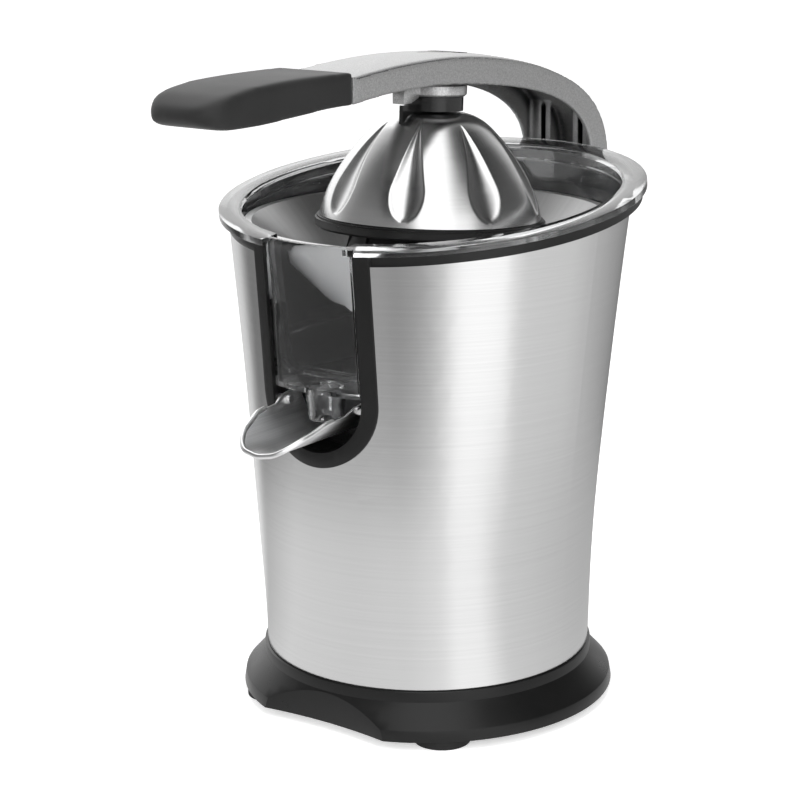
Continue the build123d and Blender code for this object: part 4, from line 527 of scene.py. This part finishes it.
def modify(thing: bpy.types.Object, kind: str, **settings: object) -> None:
    """Add a modifier and apply it.

    Args:
        thing: The object that it shapes.
        kind: The modifier's type.
        **settings: Its properties.
    """
    pick(thing)
    modifier = thing.modifiers.new(kind.lower(), kind)
    for name, value in settings.items():
        setattr(modifier, name, value)
    bpy.ops.object.modifier_apply(modifier=modifier.name)


def weigh(thing: bpy.types.Object, weight: Callable) -> str:
    """Paint a vertex group.

    Args:
        thing: The object.
        weight: Gives a vertex's weight.

    Returns:
        The group's name.
    """
    group = thing.vertex_groups.new(name="weight")
    for vertex in thing.data.vertices:
        amount = weight(vertex)
        if amount > 0:
            group.add([vertex.index], min(1.0, amount), "REPLACE")
    return group.name


def push(thing: bpy.types.Object, weight: Callable, depth: float, direction: str) -> None:
    """Displace a piece where a painted weight says so.

    Args:
        thing: The object.
        weight: Gives a vertex's weight.
        depth: Displacement at full weight.
        direction: The Displace modifier's direction.
    """
    group = weigh(thing, weight)
    modify(thing, "DISPLACE", direction=direction, strength=depth, mid_level=0.0,
           vertex_group=group)
    thing.vertex_groups.clear()


def smooth(thing: bpy.types.Object, degrees: float = 35.0) -> None:
    """Shade a piece smooth except across sharp edges."""
    pick(thing)
    bpy.ops.object.shade_smooth_by_angle(angle=math.radians(degrees))


def merged_copy(node: str, name: str) -> bpy.types.Object:
    """Copy of a solid's mesh with its loose triangles joined.

    Args:
        node: The solid's node.
        name: The new piece.

    Returns:
        The new object, at the origin.
    """
    copy = frame["nodes"][node].copy()
    copy.data = copy.data.copy()
    for key in list(copy.keys()):
        del copy[key]
    copy.parent = None
    bpy.context.scene.collection.objects.link(copy)
    copy.name = name
    copy.data.name = name
    pick(copy)
    copy.data.materials.clear()
    bpy.ops.mesh.customdata_custom_splitnormals_clear()
    bpy.ops.object.mode_set(mode="EDIT")
    bpy.ops.mesh.select_all(action="SELECT")
    bpy.ops.mesh.remove_doubles(threshold=MERGE_DISTANCE)
    bpy.ops.object.mode_set(mode="OBJECT")
    return copy


def place_piece(thing: bpy.types.Object, finish: Finish, slot: str, body: str,
                *nodes: str) -> bpy.types.Object:
    """Dress a piece, put it on its body and let it stand for its solids.

    Args:
        thing: The piece.
        finish: Its finish.
        slot: The record's material slot; not used.
        body: The body that it rides on.
        *nodes: The solids that it stands for.

    Returns:
        The piece.
    """
    thing.data.materials.clear()
    thing.data.materials.append(finish.material())
    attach(thing, body)
    if nodes:
        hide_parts(*nodes)
    LOG.info("piece %s: %d faces on %s", thing.name, len(thing.data.polygons), body)
    return thing


# ---------------------------------------------------------------------- sub-assemblies
@dataclass
class FlutedDome:
    """Steel dome that presses the fruit, with drop-shaped hollows round it."""

    profile: tuple = ((52.0, 3.4), (51.6, 5.2), (50.9, 8.0), (50.0, 11.0), (48.6, 14.6),
                      (46.8, 18.6), (44.5, 23.0), (41.9, 27.2), (39.3, 31.2), (36.5, 35.0),
                      (33.4, 38.8), (30.0, 42.4), (26.8, 45.6), (23.5, 48.2), (19.4, 50.4),
                      (15.0, 51.7), (11.0, 52.2), (7.0, 52.45), (4.2, 52.5))
    steps: int = 480
    flutes: int = 8
    first_flute: float = math.radians(22.5)
    flute_top: float = 47.7
    flute_bottom: float = 6.5
    flute_widest: float = 20.0
    flute_half_angle: float = math.radians(10.0)
    flute_depth: float = 2.7 * MM
    flute_taper: float = 0.6       # power of its narrowing towards the top
    rings_between: int = 3
    smoothing: int = 6
    crease: float = 28.0           # degrees
    steel: float = 0.9 * MM
    liner_inset: float = 1.1 * MM
    liner_wall: float = 1.6 * MM

    def opening(self, height: float) -> float:
        """Half-width of a hollow, as a share of its widest, at a height in millimetres."""
        if not self.flute_bottom < height < self.flute_top:
            return 0.0
        if height < self.flute_widest:
            part = (self.flute_widest - height) / (self.flute_widest - self.flute_bottom)
            return math.sqrt(max(0.0, 1 - part ** 2))
        part = (height - self.flute_widest) / (self.flute_top - self.flute_widest)
        return (1 - part) ** self.flute_taper

    def hollow(self, vertex: bpy.types.MeshVertex) -> float:
        """Weight of a hollow at a vertex of the upright dome."""
        share = self.opening(vertex.co.z / MM)
        if share <= 0.01:
            return 0.0
        pitch = 2 * math.pi / self.flutes
        turn = math.atan2(vertex.co.y, vertex.co.x) - self.first_flute
        away = abs((turn + pitch / 2) % pitch - pitch / 2)
        across = away / (self.flute_half_angle * share)
        return max(0.0, 1 - across ** 2) * share

    def shell(self, name: str, inset: float, wall: float) -> bpy.types.Object:
        """Extrude and scale a circle up the dome, press in the hollows, thicken and tilt it.

        Args:
            name: The new piece.
            inset: Distance of its outer face from the dome's.
            wall: Its thickness, inwards.

        Returns:
            The shell.
        """
        deselect()
        radius, height = self.profile[0]
        bpy.ops.mesh.primitive_circle_add(vertices=self.steps, radius=radius * MM,
                                          fill_type="NOTHING", location=(0, 0, height * MM))
        dome = named(name)
        bpy.ops.object.transform_apply(location=True, rotation=True, scale=True)
        bpy.ops.object.mode_set(mode="EDIT")
        bpy.ops.mesh.select_all(action="SELECT")
        for (r0, h0), (r1, h1) in zip(self.profile, self.profile[1:]):
            for step in range(self.rings_between):
                t0, t1 = step / self.rings_between, (step + 1) / self.rings_between
                before, after = r0 + (r1 - r0) * t0, r0 + (r1 - r0) * t1
                rise = (h1 - h0) / self.rings_between
                bpy.ops.mesh.extrude_region_move(
                    TRANSFORM_OT_translate={"value": (0, 0, rise * MM)})
                bpy.ops.transform.resize(value=(after / before, after / before, 1.0),
                                         center_override=(0, 0, (h0 + (h1 - h0) * t1) * MM))
        bpy.ops.mesh.select_all(action="SELECT")
        bpy.ops.mesh.normals_make_consistent(inside=False)
        bpy.ops.object.mode_set(mode="OBJECT")
        modify(dome, "SMOOTH", factor=0.5, iterations=self.smoothing)
        push(dome, self.hollow, -self.flute_depth, "NORMAL")
        if inset > 0:
            push(dome, lambda vertex: 1.0, -inset, "NORMAL")
        modify(dome, "SOLIDIFY", thickness=wall, offset=-1.0, use_rim=True)
        smooth(dome, self.crease)
        dome.rotation_euler = (-DOME_TILT, 0, 0)
        dome.location = DOME_ORIGIN
        pick(dome)
        bpy.ops.object.transform_apply(location=True, rotation=True, scale=True)
        return dome

    def build(self) -> None:
        """Make the dome and the moulded liner that follows it inside."""
        place_piece(self.shell("fluted_dome", 0.0, self.steel), DOME, "polished_dome_steel",
                    "lever", "dome_shell")
        liner = self.shell("fluted_liner", self.liner_inset, self.liner_wall)
        place_piece(liner, SATIN_BLACK, "black_satin_plastic", "lever", "dome_liner")


@dataclass
class SoftLever:
    """Silver arm with a crowned top, and the soft grip at its front."""

    arm_voxel: float = 0.85 * MM
    arm_rounds: int = 3
    arm_crease: float = 50.0       # degrees
    half_width: float = 20.7 * MM
    crown: float = 1.6 * MM
    crown_way: Vector = Vector((0.0, 0.6, 0.8))
    crown_lean: float = 0.35       # least lean of a face towards that way
    crown_low: float = 240.0 * MM
    crown_rise: float = 25.0 * MM
    grip_voxel: float = 1.0 * MM
    grip_rounds: int = 6
    grip_crease: float = 60.0      # degrees
    seam: float = -79.0 * MM
    seam_reach: float = 14.0 * MM
    round_rounds: int = 34
    nose: float = -138.0 * MM
    nose_reach: float = 20.0 * MM
    nose_rounds: int = 50
    nose_drop: float = 2.6 * MM
    nose_length: float = 30.0 * MM
    grip_foot: float = 289.5 * MM
    grip_height: float = 16.0 * MM

    def droop(self, vertex: bpy.types.MeshVertex) -> float:
        """Share of the drop at a vertex of the grip's nose."""
        ahead = min(1.0, max(0.0, (self.nose - vertex.co.y) / self.nose_length))
        above = min(1.0, max(0.0, (vertex.co.z - self.grip_foot) / self.grip_height))
        return ahead * ahead * above

    def flank(self, vertex: bpy.types.MeshVertex) -> float:
        """Share of the crown that is missing at a vertex of the arm's top."""
        if vertex.co.z < self.crown_low or vertex.normal.dot(self.crown_way) < self.crown_lean:
            return 0.0
        rise = min(1.0, (vertex.co.z - self.crown_low) / self.crown_rise)
        return min(1.0, abs(vertex.co.x) / self.half_width) ** 2 * rise

    def softened(self, node: str, name: str, voxel: float, rounds: int) -> bpy.types.Object:
        """Remesh a solid evenly and soften its edges.

        Args:
            node: The solid's node.
            name: The new piece.
            voxel: Size of the new faces.
            rounds: Rounds of smoothing.

        Returns:
            The softened piece.
        """
        piece = merged_copy(node, name)
        modify(piece, "REMESH", mode="VOXEL", voxel_size=voxel, adaptivity=0.0)
        modify(piece, "SMOOTH", factor=0.5, iterations=rounds)
        return piece

    def rounded_ahead(self, grip: bpy.types.Object, start: float, reach: float,
                      rounds: int) -> None:
        """Round the grip ahead of a place.

        Args:
            grip: The grip.
            start: Y where the rounding begins.
            reach: Distance over which it grows to its full share.
            rounds: Rounds of smoothing.
        """
        group = weigh(grip, lambda vertex: (start - vertex.co.y) / reach)
        modify(grip, "SMOOTH", factor=0.5, iterations=rounds, vertex_group=group)
        grip.vertex_groups.clear()

    def build(self) -> None:
        """Make the arm and the grip."""
        arm = self.softened("lever_arm", "crowned_arm", self.arm_voxel, self.arm_rounds)
        push(arm, self.flank, -self.crown, "NORMAL")
        smooth(arm, self.arm_crease)
        place_piece(arm, ARM_PAINT, "silver_paint", "lever", "lever_arm")
        grip = self.softened("grip_cover", "soft_grip", self.grip_voxel, self.grip_rounds)
        self.rounded_ahead(grip, self.seam, self.seam_reach, self.round_rounds)
        self.rounded_ahead(grip, self.nose, self.nose_reach, self.nose_rounds)
        push(grip, self.droop, -self.nose_drop, "Z")
        smooth(grip, self.grip_crease)
        place_piece(grip, SOFT_GRIP, "soft_black_grip", "lever", "grip_cover")


@dataclass
class SpoutLip:
    """Rolled edge of the drip spout."""

    side: tuple = ((-93.5, 155.1), (-97.0, 154.8), (-100.0, 154.5), (-104.0, 152.8),
                   (-108.0, 151.3), (-112.0, 150.0), (-115.0, 148.5), (-117.5, 147.2),
                   (-119.5, 146.0), (-121.2, 144.8), (-122.3, 143.9))
    trough_height: float = 164.0
    trough_radius: float = 21.5
    tip: tuple = (0.0, -122.9, 142.6)
    bead: float = 1.3 * MM
    roundness: int = 2             # levels of subdivision
    crease: float = 60.0           # degrees

    def edge(self) -> list[Vector]:
        """Points along the rim, from one side round the tip to the other."""
        half = []
        for y, z in self.side:
            x = math.sqrt(self.trough_radius ** 2 - (self.trough_height - z) ** 2)
            half.append((x, y, z))
        points = half + [self.tip] + [(-x, y, z) for x, y, z in reversed(half)]
        return [Vector(point) * MM for point in points]

    def build(self) -> None:
        """Extrude a vertex along the rim and give the line a round skin."""
        points = self.edge()
        deselect()
        bpy.ops.mesh.primitive_plane_add(size=1 * MM, location=points[0])
        lip = named("spout_lip")
        bpy.ops.object.transform_apply(location=True, rotation=True, scale=True)
        bpy.ops.object.mode_set(mode="EDIT")
        bpy.ops.mesh.select_all(action="SELECT")
        bpy.ops.mesh.merge(type="CENTER")
        for before, after in zip(points, points[1:]):
            bpy.ops.mesh.extrude_region_move(
                TRANSFORM_OT_translate={"value": tuple(after - before)})
        bpy.ops.object.mode_set(mode="OBJECT")
        skin = lip.modifiers.new("skin", "SKIN")
        for point in lip.data.skin_vertices[0].data:
            point.radius = (self.bead, self.bead)
        bpy.ops.object.modifier_apply(modifier=skin.name)
        modify(lip, "SUBSURF", levels=self.roundness, render_levels=self.roundness)
        smooth(lip, self.crease)
        place_piece(lip, LIP_STEEL, "polished_spout_steel", "spout")


@dataclass
class EasedParts:
    """Moulded and pressed pieces whose edges catch the light on a small round; the bowl's rounds
    carry a painted highlight.
    """

    width: float = 0.45 * MM
    bowl_width: float = 0.30 * MM
    spout_width: float = 0.25 * MM
    angle: float = math.radians(32)
    crease: float = 30.0           # degrees

    def ease(self, node: str, body: str, finish: Finish, slot: str, width: float,
             edge: Finish | None = None) -> None:
        """Copy a solid and round its sharp edges.

        Args:
            node: The solid's node.
            body: The body that it rides on.
            finish: Its finish.
            slot: The record's material slot.
            width: Width of the rounded edges.
            edge: Finish of the rounded edges, if they differ; the bowl's is a painted highlight.
        """
        piece = merged_copy(node, f"{node}_eased")
        finishes = (finish, edge) if edge else (finish,)
        for layer in finishes:
            piece.data.materials.append(layer.material())
        modify(piece, "BEVEL", width=width, segments=2, limit_method="ANGLE",
               material=len(finishes) - 1, angle_limit=self.angle, use_clamp_overlap=True,
               harden_normals=False)
        finish_of_face = [face.material_index for face in piece.data.polygons]
        smooth(piece, self.crease)
        place_piece(piece, finish, slot, body, node)
        for layer in finishes[1:]:
            piece.data.materials.append(layer.material())
        for face, index in zip(piece.data.polygons, finish_of_face):
            face.material_index = index

    def build(self) -> None:
        """Round the edges of the pieces that show."""
        black = "black_satin_plastic"
        self.ease("base_shell", "press_body", SATIN_BLACK, black, self.width)
        self.ease("window_frame", "press_body", SATIN_BLACK, black, self.width)
        # The bowl's rounded edges get a painted highlight
        self.ease("juice_bowl", "press_body", CLEAR, "clear_bowl_plastic", self.bowl_width,
                  CLEAR_EDGE_HIGHLIGHT)
        self.ease("dome_boss", "lever", BOSS_SILVER, "cast_aluminium", self.width)
        self.ease("spout", "spout", SPOUT_STEEL, "polished_spout_steel", self.spout_width)


@dataclass
class PressSpring:
    """Coil under the reamer's shaft, which shortens as fruit is pressed."""

    travel: float = 2 * MM
    crease: float = 40.0           # degrees

    def build(self) -> None:
        """Copy the coil and put it on the press carrier."""
        coil = merged_copy("return_spring", "press_coil")
        smooth(coil, self.crease)
        place_piece(coil, SCREW_STEEL, "screw_steel", "press_carrier", "return_spring")
        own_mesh(coil)


class Solids:
    """The solids whose shape is right and that get a better finish."""

    def build(self) -> None:
        """Give every solid its finish."""
        for finish, nodes in NODE_FINISH.items():
            for node in nodes:
                thing = frame["nodes"][node]
                thing.data.materials.clear()
                thing.data.materials.append(finish.material())
        LOG.info("finishes for %d solids", len(frame["nodes"]))


# ------------------------------------------------------------------------------ studio
@dataclass
class Studio:
    """Pale floor, soft lamps, pale world and the camera."""

    camera_place: Vector = Vector((631.8, -855.9, 421.0)) * MM
    turn: float = math.radians(36.43)
    yaw: float = math.radians(0.65)
    pitch: float = math.radians(14.72)
    roll: float = math.radians(-0.70)
    lens: float = 104.07
    sensor: float = 36.0
    ambient: float = 0.55
    strip_shift: float = -0.06     # of the overhead strip light, across the view
    strip_edge: tuple = (0.27, 0.40)
    strip_foot: tuple = (0.10, 0.30)
    strip_level: float = 1.7
    wall_fade: tuple = (0.3, 0.8)
    wall_loss: float = 0.6         # share of the walls' level lost overhead
    reach: tuple = (0.24, 0.56)    # where the floor's painted light in the gloss passes from its near to its far levels
    glow: float = 0.50
    floor_size: float = 30.0
    floor_drop: float = 0.2 * MM
    lamp_aim: Vector = Vector((0, 0, 0.15))
    lamps: tuple = (("key", -26.0, 0.9, 1.4, (0.5, 1.2), 9.0),
                    ("fill", -125.0, 0.9, 1.7, (0.9, 1.2), 8.0),
                    ("top", -60.0, 1.7, 0.25, (0.9, 0.6), 12.0),
                    ("window", -82.0, 0.30, 0.9, (0.3, 0.3), 2.4))
    wall_levels: tuple = ((-180, 1.2), (-160, 0.40), (-146, 0.25), (-90, 0.28), (-66, 0.40),
                          (-56, 1.35), (-9, 1.35), (2, 0.30), (14, 0.10), (72, 0.10),
                          (94, 0.85), (150, 1.35), (180, 1.2))
    # Painted light on the floor as the part's gloss shows it, near and far, by azimuth
    near_levels: tuple = ((-180, 0.58), (-142, 0.88), (-95, 0.84), (-64, 0.88), (-46, 1.00),
                          (-38, 1.24), (-24, 1.22), (-10, 0.84), (35, 0.68), (95, 0.48),
                          (126, 0.50), (141, 1.00), (165, 0.95), (180, 0.58))
    far_levels: tuple = ((-180, 0.20), (-140, 0.38), (-80, 0.42), (-70, 0.34), (-60, 0.44),
                         (-51, 0.60), (-44, 0.90), (-36, 1.42), (-11, 1.40), (-2, 0.86),
                         (34, 0.80), (60, 0.56), (105, 0.24), (126, 0.24), (141, 0.85),
                         (165, 0.80), (180, 0.20))

    def camera(self) -> None:
        """Place the camera."""
        heading = self.turn + self.yaw
        ahead = Vector((-math.sin(heading) * math.cos(self.pitch),
                        math.cos(heading) * math.cos(self.pitch), -math.sin(self.pitch)))
        right = Vector((math.cos(heading), math.sin(heading), 0.0))
        up = right.cross(ahead)
        rolled = right * math.cos(self.roll) + up * math.sin(self.roll)
        above = up * math.cos(self.roll) - right * math.sin(self.roll)
        turn = Matrix((rolled, above, -ahead)).transposed().to_4x4()
        data = bpy.data.cameras.new("camera")
        data.lens = self.lens
        data.sensor_width = self.sensor
        data.clip_start = 0.05
        data.clip_end = 50.0
        view = bpy.data.objects.new("camera", data)
        bpy.context.scene.collection.objects.link(view)
        view.matrix_world = Matrix.Translation(self.camera_place) @ turn
        bpy.context.scene.camera = view

    def lamp(self, name: str, azimuth: float, height: float, distance: float, size: tuple,
             power: float) -> None:
        """Hang a soft box that faces the part.

        Args:
            name: The lamp's name.
            azimuth: Direction from the part in degrees from +X.
            height: Its height in metres.
            distance: Its distance in metres.
            size: Its width and height in metres.
            power: Its power in watts.
        """
        data = bpy.data.lights.new(name, "AREA")
        data.shape = "RECTANGLE"
        data.size, data.size_y = size
        data.energy = power
        lamp = bpy.data.objects.new(name, data)
        bpy.context.scene.collection.objects.link(lamp)
        angle = math.radians(azimuth)
        lamp.location = (distance * math.cos(angle), distance * math.sin(angle), height)
        aim = self.lamp_aim - lamp.location
        lamp.rotation_euler = aim.to_track_quat("-Z", "Y").to_euler()
        lamp.visible_glossy = False

    def around(self, graph: Graph, x: Wire, y: Wire, levels: tuple) -> Wire:
        """Brightness of the surroundings by azimuth.

        Args:
            graph: The node tree.
            x: First part of the direction from the part.
            y: Second part of it.
            levels: Pairs of azimuth in degrees and brightness.

        Returns:
            The brightness.
        """
        turn = graph.add("ShaderNodeMath", {"operation": "ARCTAN2"}, {0: y, 1: x})
        stops = [(azimuth / 360 + 0.5, (level / 2, level / 2, level / 2))
                 for azimuth, level in levels]
        share = turn / (2 * math.pi) + 0.5
        return graph.add("ShaderNodeValToRGB", {"stops": stops}, {0: share}) * 2.0

    def world(self) -> None:
        """White to the eye and through glass, dark cards and bright boxes in gloss."""
        world = bpy.data.worlds.new("studio")
        bpy.context.scene.world = world
        world.use_nodes = True
        graph = Graph(world.node_tree)
        way = graph.add("ShaderNodeTexCoord", output="Generated")
        split = graph.add("ShaderNodeSeparateXYZ", {}, {0: way})
        x, y, z = (Wire(graph, split.socket.node.outputs[i]) for i in range(3))
        ring = self.around(graph, x, y, self.wall_levels)
        across = (x + y) * math.sqrt(0.5) - self.strip_shift
        width = (across * across) ** 0.5
        strip = (1 - width.eased(*self.strip_edge)) * z.eased(*self.strip_foot)
        walls = ring * (1 - z.eased(*self.wall_fade) * self.wall_loss)
        level = walls * (1 - strip) + strip * self.strip_level
        rays = {name: graph.add("ShaderNodeLightPath", output=name)
                for name in ("Is Camera Ray", "Is Transmission Ray", "Is Glossy Ray")}
        white = graph.add("ShaderNodeMath", {"operation": "MAXIMUM"},
                          {0: rays["Is Camera Ray"], 1: rays["Is Transmission Ray"]})
        gloss = rays["Is Glossy Ray"]
        strength = white + (1 - white) * (gloss * level + (1 - gloss) * self.ambient)
        graph.close("ShaderNodeOutputWorld", graph.add("ShaderNodeBackground", {}, {
            "Color": (1, 1, 1, 1), "Strength": strength}))

    def floor(self) -> None:
        """Lay a white floor that keeps the part's shadow; in the part's gloss it glows with painted
        light that changes by direction and distance.
        """
        deselect()
        bpy.ops.mesh.primitive_plane_add(size=self.floor_size,
                                         location=(0, 0, -self.floor_drop))
        floor = named("studio_floor")
        finish = bpy.data.materials.new("floor_white")
        finish.use_nodes = True
        graph = Graph(finish.node_tree)
        place = graph.place()
        split = graph.add("ShaderNodeSeparateXYZ", {}, {0: place})
        x, y = (Wire(graph, split.socket.node.outputs[i]) for i in range(2))
        far = ((x * x + y * y) ** 0.5).eased(*self.reach)
        near_ring = self.around(graph, x, y, self.near_levels)
        far_ring = self.around(graph, x, y, self.far_levels)
        level = near_ring * (1 - far) + far_ring * far
        base = graph.add("ShaderNodeBsdfPrincipled", {}, {
            "Base Color": grey(0.92), "Roughness": 0.7, "Specular IOR Level": 0.2})
        glow = graph.add("ShaderNodeEmission", {}, {"Color": (1, 1, 1, 1),
                                                    "Strength": self.glow})
        lit = graph.add("ShaderNodeAddShader", {}, {0: base, 1: glow})
        seen = graph.add("ShaderNodeLightPath", output="Is Camera Ray")
        gloss = graph.add("ShaderNodeLightPath", output="Is Glossy Ray")
        # Painted light: seen in gloss, the floor glows brighter or darker by direction and distance
        painted_floor_light = graph.add("ShaderNodeEmission", {}, {"Color": (1, 1, 1, 1),
                                                        "Strength": level})
        plain = graph.add("ShaderNodeMixShader", {}, {0: seen, 1: base, 2: lit})
        graph.close("ShaderNodeOutputMaterial",
                    graph.add("ShaderNodeMixShader", {}, {0: gloss, 1: plain, 2: painted_floor_light}))
        floor.data.materials.append(finish)

    def build(self) -> None:
        """Set up the camera, lamps, world and floor."""
        self.camera()
        self.world()
        self.floor()
        for lamp in self.lamps:
            self.lamp(*lamp)
        bpy.context.scene.view_settings.view_transform = "Standard"


def main() -> None:
    """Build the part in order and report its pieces."""
    logging.basicConfig(level=logging.INFO, format="%(name)s: %(message)s")
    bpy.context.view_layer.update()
    Studio().build()
    Solids().build()
    FlutedDome().build()
    SoftLever().build()
    SpoutLip().build()
    PressSpring().build()
    EasedParts().build()


if __name__ == "__main__":
    main()
